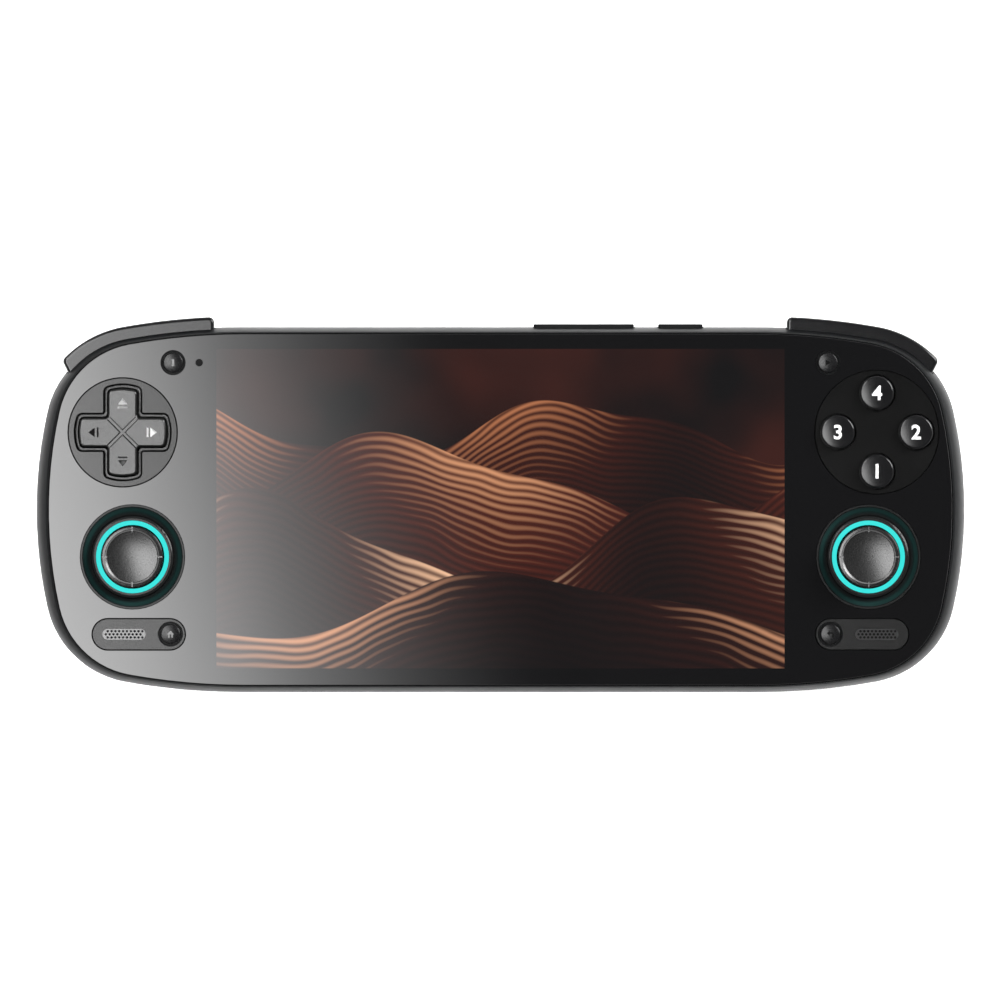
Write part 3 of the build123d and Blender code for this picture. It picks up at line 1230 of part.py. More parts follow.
with BuildPart() as light_rings:
    with BuildSketch(level(SEAT_Z - BEZEL_DROP)):
        with Locations((-STICK_X, STICK_Y), (STICK_X, STICK_Y)):
            Circle(RING_R)
            Circle(RING_R - RING_W, mode=Mode.SUBTRACT)
    extrude(amount=GLASS_T + BEZEL_DROP + BEZEL_COLLAR_RISE)
    chamfer(light_rings.edges().group_by(Axis.Z)[-1], RING_EDGE)
save(light_rings.part, "light_rings")

with BuildPart() as stick_housings:
    with BuildSketch(level(HOUSING_Z)):
        with Locations((-STICK_X, STICK_Y), (STICK_X, STICK_Y)):
            RectangleRounded(HOUSING_W, HOUSING_W, HOUSING_CORNER_R)
    extrude(amount=CONTROL_Z - HOUSING_Z)
    with BuildSketch(level(HOUSING_Z + HOUSING_T)):
        with Locations((-STICK_X, STICK_Y), (STICK_X, STICK_Y)):
            RectangleRounded(HOUSING_W - 2 * HOUSING_T, HOUSING_W - 2 * HOUSING_T, HOUSING_CORNER_R - HOUSING_T)
    extrude(amount=CONTROL_Z - HOUSING_Z, mode=Mode.SUBTRACT)
save(stick_housings.part, "stick_housings")

# Moving parts of each stick: click saddle, yoke, shaft and cap
for side, sign in SIDES:
    centre_x = sign * STICK_X
    stick_plane = Plane(origin=(centre_x, BODY_Y + STICK_Y, 0))
    across = Plane(origin=(centre_x, BODY_Y + STICK_Y, PIVOT_Z), z_dir=(0, 1, 0))
    along = Plane(origin=(centre_x, BODY_Y + STICK_Y, PIVOT_Z), z_dir=(1, 0, 0))

    with BuildPart() as cap:
        with BuildSketch(upright(centre_x, STICK_Y)):
            with BuildLine():
                outer_skirt = CenterArc((0, PIVOT_Z), SKIRT_R, 90 - SKIRT_ANGLE, SKIRT_ANGLE - NECK_ANGLE)
                Polyline(
                    outer_skirt @ 1,
                    (NECK_R, CAP_Z - CAP_FLARE),
                    (CAP_R - CAP_EDGE_R, CAP_Z),
                    (CAP_R, CAP_Z + CAP_EDGE_R),
                    (CAP_R, CAP_TOP_Z - CAP_EDGE_R),
                    (CAP_R - CAP_EDGE_R / 2, CAP_TOP_Z - CAP_EDGE_R / 6),
                    (CAP_RIM_R - CAP_EDGE_R / 3, CAP_TOP_Z),
                    (CAP_DISH_R, CAP_TOP_Z - CAP_EDGE_R / 2),
                )
                dish = CenterArc((0, CAP_DISH_Z + CAP_BOWL_R), CAP_BOWL_R, CAP_BOWL_TURN - 90, -CAP_BOWL_TURN)
                core = Polyline(
                    dish @ 1,
                    (0, SHAFT_TOP_Z),
                    (SHAFT_R + PIN_SEAT_GAP, SHAFT_TOP_Z),
                    (SHAFT_R + PIN_SEAT_GAP, PIVOT_Z + CAP_BOSS_LIFT),
                    (CAP_BOSS_R, PIVOT_Z + CAP_BOSS_LIFT),
                    (CAP_BOSS_R, PIVOT_Z + BOSS_LIFT_AT_SKIRT),
                )
                inner_skirt = CenterArc((0, PIVOT_Z), SKIRT_R - SKIRT_T, BOSS_ANGLE, 90 - SKIRT_ANGLE - BOSS_ANGLE)
                Line(inner_skirt @ 1, outer_skirt @ 0)
            make_face()
        revolve(axis=upright_axis(centre_x, STICK_Y))
        with BuildSketch(stick_plane.offset(CAP_TOP_Z)):
            with PolarLocations(CAP_RIM_R, 4):
                Rectangle(CAP_R - CAP_DISH_R, CAP_TICK_W)
        extrude(amount=-CAP_TICK_T, mode=Mode.SUBTRACT)
    save(cap.part, f"{side}_stick_cap")

    with BuildPart() as shaft:
        with BuildSketch(stick_plane.offset(PIVOT_Z - SHAFT_FOOT)):
            Circle(SHAFT_R)
        extrude(amount=SHAFT_TOP_Z - PIN_SEAT_GAP - PIVOT_Z + SHAFT_FOOT)
        with BuildSketch(across):
            Circle(SHAFT_CROSS_R)
        extrude(amount=YOKE_Y / 2, both=True)
    save(shaft.part, f"{side}_stick_shaft")

    with BuildPart() as yoke:
        with BuildSketch(stick_plane.offset(PIVOT_Z)):
            Rectangle(YOKE_X, YOKE_Y)
            Rectangle(YOKE_SLOT_X, YOKE_SLOT_Y, mode=Mode.SUBTRACT)
        extrude(amount=YOKE_T / 2, both=True)
        with BuildSketch(along):
            Circle(SHAFT_CROSS_R)
        extrude(amount=YOKE_X / 2 + TRUNNION_L, both=True)
        with BuildSketch(stick_plane.offset(PIVOT_Z)):
            Rectangle(YOKE_SLOT_X, YOKE_SLOT_Y)
        extrude(amount=YOKE_T, both=True, mode=Mode.SUBTRACT)
        with BuildSketch(across):
            Circle(SHAFT_CROSS_R + SHAFT_GAP)
        extrude(amount=YOKE_Y, both=True, mode=Mode.SUBTRACT)
    save(yoke.part, f"{side}_stick_yoke")

    with BuildPart() as saddle:
        with BuildSketch(stick_plane.offset(SADDLE_Z)):
            Rectangle(SADDLE_X, SADDLE_Y)
        extrude(amount=SADDLE_T)
        with BuildSketch(stick_plane.offset(SADDLE_Z + SADDLE_T)):
            with Locations((-EAR_X, 0), (EAR_X, 0)):
                Rectangle(EAR_T, EAR_W)
        extrude(amount=PIVOT_Z + EAR_RISE - SADDLE_Z - SADDLE_T)
        with BuildSketch(along):
            Circle(SHAFT_CROSS_R + SHAFT_GAP)
        extrude(amount=SADDLE_X, both=True, mode=Mode.SUBTRACT)
    save(saddle.part, f"{side}_stick_saddle")

# Small boards: two under the controls, two under the light rings, one behind the side keys
with BuildPart() as small_boards:
    for side, sign in SIDES:
        with BuildSketch(level(CONTROL_Z)):
            add(outline(CONTROL_INSET_X, CONTROL_INSET_Y))
            with Locations((sign * CONTROL_IN_X, 0)):
                cut_side = Align.MIN if sign > 0 else Align.MAX
                Rectangle(BODY_HALF_X, 2 * BODY_HALF_Y, align=(cut_side, Align.CENTER), mode=Mode.INTERSECT)
            with Locations((sign * STICK_X, STICK_Y)):
                Circle(BOARD_STICK_R, mode=Mode.SUBTRACT)
            with Locations(*[(sign * x, y) for x, y in CASE_SCREW_SPOTS]):
                Circle(SCREW_HOLE_R, mode=Mode.SUBTRACT)
        extrude(amount=CONTROL_T)
    with BuildSketch(level(SEAT_Z - BEZEL_DROP)):
        with Locations((-STICK_X, STICK_Y), (STICK_X, STICK_Y)):
            Circle(RING_BOARD_R)
            Circle(RING_BOARD_IN_R, mode=Mode.SUBTRACT)
    extrude(amount=-RING_BOARD_T)
    with BuildSketch(upright(SIDE_TAB_X, SIDE_BOARD_Y + SIDE_BOARD_T)):
        with Locations((0, FRAME_Z)):
            Rectangle(SIDE_TAB_L, SIDE_TAB_DROP, align=(Align.CENTER, Align.MAX))
    extrude(amount=SIDE_BOARD_T)
save(small_boards.part, "small_boards")

# Shoulder buttons, each with an eye for an upright pin and a nub for its switch
for side, sign in SIDES:
    with BuildPart() as shoulder:
        with BuildSketch(level(SHOULDER_BOTTOM_Z)):
            add(shoulder_band(sign, 0, SHOULDER_DEPTH, -SHOULDER_RISE))
        extrude(amount=SHOULDER_T)
        uprights = shoulder.edges().filter_by(Axis.Z)
        fillet(uprights.group_by(SortBy.LENGTH)[-1], SHOULDER_CORNER_R)
        fillet(shoulder.edges().group_by(Axis.Z)[-1], SHOULDER_EDGE_R)
        pivot = (sign * SHOULDER_PIVOT_X, SHOULDER_PIVOT_Y)
        eye_z = (SHOULDER_BOTTOM_Z + SHOULDER_TOP_Z - SHOULDER_EYE_T) / 2
        with BuildSketch(level(eye_z)):
            with Locations(pivot):
                Circle(SHOULDER_EYE_R)
            with Locations((sign * SHOULDER_SWITCH_X, SHOULDER_NUB_Y)):
                Rectangle(SHOULDER_NUB_W, SHOULDER_NUB_T, align=(Align.CENTER, Align.MIN))
        extrude(amount=SHOULDER_EYE_T)
        with BuildSketch(level(SHOULDER_BOTTOM_Z)):
            with Locations(pivot):
                Circle(SHOULDER_PIN_R + SHAFT_GAP)
        extrude(amount=SHOULDER_T, mode=Mode.SUBTRACT)
    save(shoulder.part, f"{side}_shoulder_button")

# Triggers: hooked paddles that hang from a pin in each bay, with a coil spring round the pin
for side, sign in SIDES:
    across = trigger_plane(sign)
    with BuildPart() as trigger:
        with BuildSketch(across):
            with BuildLine():
                face = Polyline(
                    (-TRIGGER_PIVOT_IN, TRIGGER_TOP_Z),
                    (TRIGGER_BROW_X, TRIGGER_TOP_Z),
                    (TRIGGER_BROW_X + TRIGGER_NECK, TRIGGER_TOP_Z - TRIGGER_NECK),
                )
                finger = ThreePointArc(
                    face @ 1,
                    (TRIGGER_BROW_X + TRIGGER_NECK, (TRIGGER_TOP_Z + TRIGGER_LIP_Z) / 2),
                    (TRIGGER_LIP_X, TRIGGER_LIP_Z + TRIGGER_LIP_R),
                )
                lip = Polyline(
                    finger @ 1,
                    (TRIGGER_LIP_X - TRIGGER_LIP_R, TRIGGER_LIP_Z),
                    (TRIGGER_LIP_X - TRIGGER_HOOK_T, TRIGGER_LIP_Z),
                )
                ThreePointArc(
                    lip @ 1,
                    (-TRIGGER_PIVOT_IN / 2, (TRIGGER_PIVOT_Z + TRIGGER_LIP_Z) / 2),
                    (-TRIGGER_PIVOT_IN - TRIGGER_BARREL_R, TRIGGER_PIVOT_Z),
                )
                CenterArc((-TRIGGER_PIVOT_IN, TRIGGER_PIVOT_Z), TRIGGER_BARREL_R, 180, -90)
            make_face()
        extrude(amount=TRIGGER_L / 2, both=True)
        with BuildSketch(level(0)):
            add(outline(-TRIGGER_RISE, -TRIGGER_RISE))
        extrude(amount=PARTING_Z, mode=Mode.INTERSECT)
        with BuildSketch(across):
            with Locations((-TRIGGER_PIVOT_IN, TRIGGER_PIVOT_Z)):
                Circle(TRIGGER_PIN_R + SHAFT_GAP)
        extrude(amount=TRIGGER_L, both=True, mode=Mode.SUBTRACT)
        with BuildSketch(across):
            with Locations((-TRIGGER_PIVOT_IN + TRIGGER_BARREL_R, BACK_Z)):
                Rectangle(BAY_DEPTH, BODY_T, align=(Align.MAX, Align.MIN))
        extrude(amount=TRIGGER_SPRING_SLOT / 2, both=True, mode=Mode.SUBTRACT)
    save(trigger.part, f"{side}_trigger")

    with BuildPart() as trigger_spring:
        middle = across.origin - across.x_dir * TRIGGER_PIVOT_IN + Vector(0, 0, TRIGGER_PIVOT_Z)
        start = Plane(origin=middle - across.z_dir * (TRIGGER_SPRING_SLOT / 2), z_dir=across.z_dir)
        add(coil(start, TRIGGER_SPRING_R, TRIGGER_SPRING_WIRE_R, TRIGGER_SPRING_TURNS, TRIGGER_SPRING_SLOT))
    save(trigger_spring.part, f"{side}_trigger_spring")

with BuildPart() as pins:
    with BuildSketch(level(BAY_TOP_Z - SHOULDER_PIN_SEAT)):
        with Locations((-SHOULDER_PIVOT_X, SHOULDER_PIVOT_Y), (SHOULDER_PIVOT_X, SHOULDER_PIVOT_Y)):
            Circle(SHOULDER_PIN_R)
    extrude(amount=PLATE_Z - BAY_TOP_Z + 2 * SHOULDER_PIN_SEAT)
    for side, sign in SIDES:
        with BuildSketch(trigger_plane(sign)):
            with Locations((-TRIGGER_PIVOT_IN, TRIGGER_PIVOT_Z)):
                Circle(TRIGGER_PIN_R)
        extrude(amount=BAY_L / 2 + BAY_WALL, both=True)
save(pins.part, "pins")

# Side keys on the top edge
with BuildPart() as volume_rocker:
    with BuildSketch(upright(VOLUME_X, BODY_HALF_Y + SIDE_KEY_RISE)):
        with Locations((0, SIDE_KEY_Z)):
            RectangleRounded(VOLUME_L, SIDE_KEY_T, SIDE_KEY_T / 3)
    extrude(amount=SIDE_KEY_RISE + SIDE_KEY_DEPTH)
    fillet(volume_rocker.faces().sort_by(Axis.Y)[-1].edges(), SIDE_KEY_EDGE_R)
    with BuildSketch(upright(VOLUME_X, BODY_HALF_Y - WALL - SIDE_FLANGE_GAP)):
        with Locations((0, SIDE_KEY_Z)):
            Rectangle(SIDE_FLANGE_L, SIDE_KEY_T + 2 * SIDE_FLANGE_RISE)
    extrude(amount=SIDE_FLANGE_T)
    with BuildSketch(upright(VOLUME_X, BODY_HALF_Y - SIDE_KEY_DEPTH)):
        with Locations((0, SIDE_KEY_Z)), GridLocations(2 * VOLUME_NUB_X, 0, 2, 1):
            Rectangle(SIDE_NUB_W, SIDE_KEY_T / 2)
    extrude(amount=SIDE_NUB_L - VOLUME_SWITCH_SPARE)
save(volume_rocker.part, "volume_rocker")

with BuildPart() as power_button:
    with BuildSketch(upright(POWER_X, BODY_HALF_Y + SIDE_KEY_RISE)):
        with Locations((0, SIDE_KEY_Z)):
            RectangleRounded(POWER_L, SIDE_KEY_T, SIDE_KEY_T / 3)
    extrude(amount=SIDE_KEY_RISE + SIDE_KEY_DEPTH)
    fillet(power_button.faces().sort_by(Axis.Y)[-1].edges(), SIDE_KEY_EDGE_R)
    with BuildSketch(upright(POWER_X, BODY_HALF_Y - WALL - LEAST_GAP)):
        with Locations((0, SIDE_KEY_Z)):
            Rectangle(POWER_L - SIDE_NUB_W, SIDE_KEY_T + 2 * SIDE_FLANGE_RISE)
    extrude(amount=SIDE_FLANGE_T)
    with BuildSketch(upright(POWER_X, BODY_HALF_Y - SIDE_KEY_DEPTH)):
        with Locations((0, SIDE_KEY_Z)):
            Rectangle(SIDE_NUB_W, SIDE_KEY_T / 2)
    extrude(amount=SIDE_NUB_L)
save(power_button.part, "power_button")

# Main board with its cut-outs
with BuildPart() as main_board:
    with BuildSketch(level(BOARD_Z)):
        with Locations((0, (BOARD_LOW_Y + BOARD_HIGH_Y) / 2)):
            RectangleRounded(2 * BOARD_HALF_X, BOARD_HIGH_Y - BOARD_LOW_Y, BOARD_CORNER_R)
        with Locations((FAN_X, FAN_Y - FAN_W / 2 - PART_GAP)):
            Rectangle(FAN_W + 2 * PART_GAP, BODY_HALF_Y, align=(Align.CENTER, Align.MIN), mode=Mode.SUBTRACT)
        with Locations((JACK_X, -JACK_FACE_Y)):
            Rectangle(
                JACK_W + 2 * PART_GAP,
                JACK_L + JACK_BARREL_L + PART_GAP,
                align=(Align.CENTER, Align.MIN),
                mode=Mode.SUBTRACT,
            )
        with Locations(*BOARD_BOSS_SPOTS):
            Circle(BOARD_BORE_R, mode=Mode.SUBTRACT)
    extrude(amount=BOARD_T)
save(main_board.part, "main_board")

# Cooling: shield can, heat pipe, fins, and a blower over the intake
with BuildPart() as shield_can:
    with BuildSketch(level(BOARD_Z - CAN_T)):
        with Locations((CAN_X, CAN_Y)):
            RectangleRounded(CAN_L, CAN_W, BOARD_CORNER_R / 2)
    extrude(amount=CAN_T)
    with BuildSketch(level(BOARD_Z - CAN_T + CAN_WALL)):
        with Locations((CAN_X, CAN_Y)):
            Rectangle(CAN_L - 2 * CAN_WALL, CAN_W - 2 * CAN_WALL)
    extrude(amount=CAN_T, mode=Mode.SUBTRACT)
save(shield_can.part, "shield_can")

with BuildPart() as heat_pipe:
    with BuildSketch(level(FLOOR_Z + PIPE_LIFT)):
        with BuildLine() as run:
            FilletPolyline(
                (CAN_X + CAN_L / 2 - PIPE_W, CAN_Y),
                (PIPE_KNEE_X, CAN_Y),
                (PIPE_KNEE_X, PIPE_Y),
                (FAN_X - FAN_W / 2 + PIPE_W / 2, PIPE_Y),
                radius=PIPE_BEND_R,
            )
        trace(run.line, line_width=PIPE_W)
    extrude(amount=PIPE_T)
save(heat_pipe.part, "heat_pipe")

with BuildPart() as fin_stack:
    with BuildSketch(level(FIN_TOP_Z)):
        with Locations((FAN_X, PIPE_Y - PIPE_W / 2)):
            Rectangle(FAN_W, FIN_DEPTH, align=(Align.CENTER, Align.MIN))
    extrude(amount=-FIN_BASE_T)
    with BuildSketch(level(FLOOR_Z + PIPE_LIFT + PIPE_T)):
        with Locations((FAN_X, PIPE_Y - PIPE_W / 2 + FIN_DEPTH / 2)):
            with GridLocations((FAN_W - FIN_T) / (FIN_COUNT - 1), 0, FIN_COUNT, 1):
                Rectangle(FIN_T, FIN_DEPTH)
    extrude(amount=FIN_TOP_Z - FIN_BASE_T - FLOOR_Z - PIPE_LIFT - PIPE_T)
save(fin_stack.part, "fin_stack")

with BuildPart() as fan_housing:
    with BuildSketch(level(FLOOR_Z)):
        with Locations((FAN_X, FAN_Y)):
            RectangleRounded(FAN_W, FAN_W, BOARD_CORNER_R)
    extrude(amount=FAN_T)
    with BuildSketch(level(FLOOR_Z + FAN_WALL)):
        with Locations((FAN_X, FAN_Y)):
            Circle(FAN_CAVITY_R)
            Rectangle(FAN_W - 2 * DUCT_SIDE, FAN_W, align=(Align.CENTER, Align.MIN))
    extrude(amount=FAN_T - 2 * FAN_WALL, mode=Mode.SUBTRACT)
    with BuildSketch(level(FLOOR_Z)):
        with Locations((FAN_X, FAN_Y)):
            Circle(FAN_INTAKE_R)
    extrude(amount=FAN_WALL, mode=Mode.SUBTRACT)
    with BuildSketch(level(FLOOR_Z + FAN_WALL + ROTOR_GAP)):
        with Locations((FAN_X, FAN_Y)):
            Circle(FAN_SHAFT_R)
    extrude(amount=FAN_T - 2 * FAN_WALL - ROTOR_GAP)
save(fan_housing.part, "fan_housing")

with BuildPart() as fan_rotor:
    with BuildSketch(level(FLOOR_Z + FAN_WALL + ROTOR_GAP)):
        with Locations((FAN_X, FAN_Y)):
            Circle(ROTOR_HUB_R)
        with Locations((FAN_X, FAN_Y)), PolarLocations(ROTOR_HUB_R - BLADE_T, BLADE_COUNT):
            Rectangle(BLADE_L, BLADE_T, rotation=BLADE_LEAN, align=(Align.MIN, Align.CENTER))
        with Locations((FAN_X, FAN_Y)):
            Circle(FAN_SHAFT_R + SHAFT_GAP, mode=Mode.SUBTRACT)
    extrude(amount=FAN_T - 2 * FAN_WALL - 2 * ROTOR_GAP)
save(fan_rotor.part, "fan_rotor")

with BuildPart() as battery:
    with BuildSketch(level(FRAME_Z)):
        with Locations((0, BATTERY_Y_MID)):
            RectangleRounded(BATTERY_X, BATTERY_Y, BATTERY_CORNER_R)
    extrude(amount=-BATTERY_T)
    fillet(battery.faces().sort_by(Axis.Z)[0].edges(), BATTERY_CORNER_R / 2)
save(battery.part, "battery")

# Ports on the bottom edge
with BuildPart() as usb_socket:
    with BuildSketch(upright(0, -PORT_FACE_Y)):
        with Locations((0, USB_Z)):
            SlotOverall(USB_W, USB_H)
    extrude(amount=-USB_L)
    with BuildSketch(upright(0, -PORT_FACE_Y)):
        with Locations((0, USB_Z)):
            SlotOverall(USB_W - 2 * USB_WALL, USB_H - 2 * USB_WALL)
    extrude(amount=USB_BACK_T - USB_L, mode=Mode.SUBTRACT)
    with BuildSketch(upright(0, USB_L - PORT_FACE_Y)):
        with Locations((0, USB_Z)):
            Rectangle(USB_TONGUE_W, USB_TONGUE_T)
    extrude(amount=USB_BACK_T + USB_TONGUE_L)
save(usb_socket.part, "usb_socket")

with BuildPart() as headphone_jack:
    with BuildSketch(upright(JACK_X, JACK_BARREL_L - JACK_FACE_Y)):
        with Locations((0, JACK_Z)):
            Rectangle(JACK_W, JACK_H)
    extrude(amount=-JACK_L)
    with BuildSketch(upright(JACK_X, JACK_BARREL_L - JACK_FACE_Y)):
        with Locations((0, JACK_Z)):
            Circle(JACK_BARREL_R)
    extrude(amount=JACK_BARREL_L)
    with BuildSketch(upright(JACK_X, -JACK_FACE_Y)):
        with Locations((0, JACK_Z)):
            Circle(JACK_BORE_R)
    extrude(amount=-JACK_DEPTH, mode=Mode.SUBTRACT)
save(headphone_jack.part, "headphone_jack")

with BuildPart() as card_reader:
    with BuildSketch(upright(CARD_X, -CARD_FACE_Y)):
        with Locations((0, BOARD_Z - CARD_H / 2)):
            Rectangle(CARD_W, CARD_H)
    extrude(amount=-CARD_L)
    with BuildSketch(upright(CARD_X, -CARD_FACE_Y)):
        with Locations((0, BOARD_Z - CARD_H / 2)):
            Rectangle(CARD_SLOT_W, CARD_SLOT_H)
    extrude(amount=CARD_WALL_T - CARD_L, mode=Mode.SUBTRACT)
save(card_reader.part, "card_reader")

# Ribbon cable from the display through the middle frame to its plug on the main board
with BuildPart() as display_cable:
    with BuildSketch(level(BOARD_TOP_Z)):
        with Locations((CABLE_SLOT_X, 0)):
            Rectangle(PLUG_L, CABLE_W)
    extrude(amount=PLUG_T)
    with BuildSketch(level(BOARD_TOP_Z + PLUG_T)):
        with Locations((CABLE_SLOT_X, 0)):
            Rectangle(CABLE_T, CABLE_W)
    extrude(amount=SEAT_Z - PANEL_T - BOARD_TOP_Z - PLUG_T)
save(display_cable.part, "display_cable")

with BuildPart() as feet:
    with BuildSketch(level(0)):
        for side, sign in SIDES:
            with Locations((sign * GRIP_X, GRIP_Y)), GridLocations(0, 2 * FOOT_Y, 1, 2):
                Circle(FOOT_R)
    extrude(amount=FOOT_T)
    chamfer(feet.edges().group_by(Axis.Z)[0], FOOT_T / 4)
save(feet.part, "feet")
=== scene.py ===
"""Looks of a handheld game console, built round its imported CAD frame.

The console lies on its back with the screen up: +X is to the right of the screen, +Y to the edge with the
shoulder buttons, +Z out of the screen. Lengths are in metres unless a name ends in _mm.
"""

import logging
import math
from dataclasses import dataclass, field
from enum import Enum

import bmesh
import bpy
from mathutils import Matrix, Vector


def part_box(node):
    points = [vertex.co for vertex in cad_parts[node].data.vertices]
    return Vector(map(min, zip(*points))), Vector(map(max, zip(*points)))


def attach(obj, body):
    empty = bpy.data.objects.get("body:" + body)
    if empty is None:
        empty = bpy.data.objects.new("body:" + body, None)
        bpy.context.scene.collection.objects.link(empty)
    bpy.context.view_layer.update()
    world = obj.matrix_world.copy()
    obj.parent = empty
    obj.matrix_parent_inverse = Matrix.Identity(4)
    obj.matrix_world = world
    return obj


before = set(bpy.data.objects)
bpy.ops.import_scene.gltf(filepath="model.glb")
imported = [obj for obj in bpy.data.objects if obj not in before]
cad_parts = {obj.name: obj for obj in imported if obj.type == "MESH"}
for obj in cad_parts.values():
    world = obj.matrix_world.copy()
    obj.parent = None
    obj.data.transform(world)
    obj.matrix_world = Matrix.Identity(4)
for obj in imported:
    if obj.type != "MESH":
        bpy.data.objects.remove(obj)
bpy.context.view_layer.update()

log = logging.getLogger("console")

MM = 0.001
FONT_RESOLUTION = 6
# Shares of the fine and the slow noise in a surface's tone, and how far the slow one reaches
FINE_SHARE = 0.6
SLOW_SHARE = 0.4
SLOW_MM = 18.0
# Octaves of the fine and the slow noise, and how much the finer octaves count
FINE_DETAIL = 3.0
FINE_BALANCE = 0.6
SLOW_DETAIL = 4.0
SLOW_BALANCE = 0.55
# Where the noise's usual values end, for tone and for gloss
TONE_ENDS = (0.32, 0.68)
GLOSS_ENDS = (0.3, 0.7)
LEAST_ROUGHNESS = 0.02
BUMP_STRENGTH = 0.6


def linear(hex_colour: str) -> tuple[float, float, float, float]:
    """Turn an sRGB hex colour into linear light.

    Args:
        hex_colour: Six hex digits, such as "1A1A1A".

    Returns:
        Red, green, blue and an alpha of 1.
    """
    channels = [int(hex_colour[i : i + 2], 16) / 255 for i in (0, 2, 4)]
    light = [c / 12.92 if c <= 0.04045 else ((c + 0.055) / 1.055) ** 2.4 for c in channels]
    return (light[0], light[1], light[2], 1.0)


def add_node(
    tree: bpy.types.NodeTree, kind: str, settings: dict | None = None, inputs: dict | None = None
) -> bpy.types.Node:
    """Add a node with its settings and what feeds it.

    Args:
        tree: Node tree that gets the node.
        kind: Blender's type name, such as "ShaderNodeMath".
        settings: Attributes of the node.
        inputs: Socket name or number to a value, or to the output socket that feeds it.

    Returns:
        The new node.
    """
    node = tree.nodes.new(kind)
    for name, value in (settings or {}).items():
        setattr(node, name, value)
    for name, value in (inputs or {}).items():
        if isinstance(value, bpy.types.NodeSocket):
            tree.links.new(value, node.inputs[name])
        else:
            node.inputs[name].default_value = value
    return node


def fill_ramp(node: bpy.types.Node, stops: list[tuple[float, tuple]]) -> None:
    """Set a colour ramp's stops.

    Args:
        node: Colour ramp node.
        stops: Position and colour of each stop, in order.
    """
    ramp = node.color_ramp
    ramp.elements.remove(ramp.elements[-1])
    ramp.elements[0].position, ramp.elements[0].color = stops[0]
    for position, colour in stops[1:]:
        ramp.elements.new(position).color = colour


def new_tree(name: str) -> tuple[bpy.types.Material, bpy.types.NodeTree]:
    """Make an empty material.

    Args:
        name: The material's name.

    Returns:
        The material and its cleared node tree.
    """
    material = bpy.data.materials.new(name)
    material.use_nodes = True
    material.node_tree.nodes.clear()
    return material, material.node_tree


class Grain(Enum):
    """How a surface's fine texture runs."""

    EVEN = (1.0, 1.0, 1.0)
    ALONG_X = (0.04, 1.0, 1.0)
    ALONG_Y = (1.0, 0.04, 1.0)


@dataclass(frozen=True)
class Finish:
    """One real material and how its surface was made."""

    name: str
    colour: str
    roughness: float
    metallic: float = 0.0
    ior: float = 1.5
    grain_mm: float = 0.5
    grain_depth_mm: float = 0.01
    tone_change: float = 0.12
    roughness_change: float = 0.08
    grain: Grain = Grain.EVEN
    glow: float = 0.0
    glow_colour: str = "000000"
    cache: dict = field(default_factory=dict, compare=False, repr=False)

    def material(self) -> bpy.types.Material:
        """Give the finish's material, built at its first use.

        Returns:
            The material.
        """
        if "built" not in self.cache:
            self.cache["built"] = self.build()
        return self.cache["built"]

    def build(self) -> bpy.types.Material:
        """Build the material: fine grain, slow change of tone and gloss, and a bump from the grain.

        Returns:
            The material.
        """
        material, tree = new_tree(self.name)
        place = add_node(tree, "ShaderNodeTexCoord").outputs["Object"]
        turned = add_node(
            tree, "ShaderNodeVectorMath", {"operation": "MULTIPLY"}, {0: place, 1: self.grain.value}
        )
        fine = add_node(
            tree,
            "ShaderNodeTexNoise",
            {},
            {
                "Vector": turned.outputs[0],
                "Scale": 1 / (self.grain_mm * MM),
                "Detail": FINE_DETAIL,
                "Roughness": FINE_BALANCE,
            },
        )
        slow = add_node(
            tree,
            "ShaderNodeTexNoise",
            {},
            {"Vector": place, "Scale": 1 / (SLOW_MM * MM), "Detail": SLOW_DETAIL, "Roughness": SLOW_BALANCE},
        )
        fine_part = add_node(
            tree, "ShaderNodeMath", {"operation": "MULTIPLY"}, {0: fine.outputs["Fac"], 1: FINE_SHARE}
        )
        tone = add_node(
            tree,
            "ShaderNodeMath",
            {"operation": "MULTIPLY_ADD"},
            {0: slow.outputs["Fac"], 1: SLOW_SHARE, 2: fine_part.outputs[0]},
        )
        base = linear(self.colour)
        dark = tuple(c * (1 - self.tone_change) for c in base[:3]) + (1.0,)
        light = tuple(min(1.0, c * (1 + self.tone_change)) for c in base[:3]) + (1.0,)
        ramp = add_node(tree, "ShaderNodeValToRGB", {}, {0: tone.outputs[0]})
        fill_ramp(ramp, [(TONE_ENDS[0], dark), (TONE_ENDS[1], light)])
        gloss = add_node(
            tree,
            "ShaderNodeMapRange",
            {},
            {
                "Value": tone.outputs[0],
                "From Min": GLOSS_ENDS[0],
                "From Max": GLOSS_ENDS[1],
                "To Min": max(LEAST_ROUGHNESS, self.roughness - self.roughness_change),
                "To Max": min(1.0, self.roughness + self.roughness_change),
            },
        )
        bump = add_node(
            tree,
            "ShaderNodeBump",
            {},
            {"Height": fine.outputs["Fac"], "Strength": BUMP_STRENGTH, "Distance": self.grain_depth_mm * MM},
        )
        surface = add_node(
            tree,
            "ShaderNodeBsdfPrincipled",
            {},
            {
                "Base Color": ramp.outputs[0],
                "Roughness": gloss.outputs[0],
                "Metallic": self.metallic,
                "IOR": self.ior,
                "Normal": bump.outputs[0],
                "Emission Color": linear(self.glow_colour),
                "Emission Strength": self.glow,
            },
        )
        add_node(tree, "ShaderNodeOutputMaterial", {}, {"Surface": surface.outputs[0]})
        return material


# Magnesium alloy frame, cast, blasted and painted with satin black lacquer: soft broad highlights
FRAME_LACQUER = Finish(
    "satin_lacquered_magnesium_frame", "0E0F10", 0.36, ior=1.14, grain_mm=0.16, grain_depth_mm=0.002
)
# ABS back, moulded in a spark-eroded tool: fine even matt texture
BACK_ABS = Finish("spark_textured_abs_back", "1B1B1D", 0.55, grain_mm=0.35, grain_depth_mm=0.02)
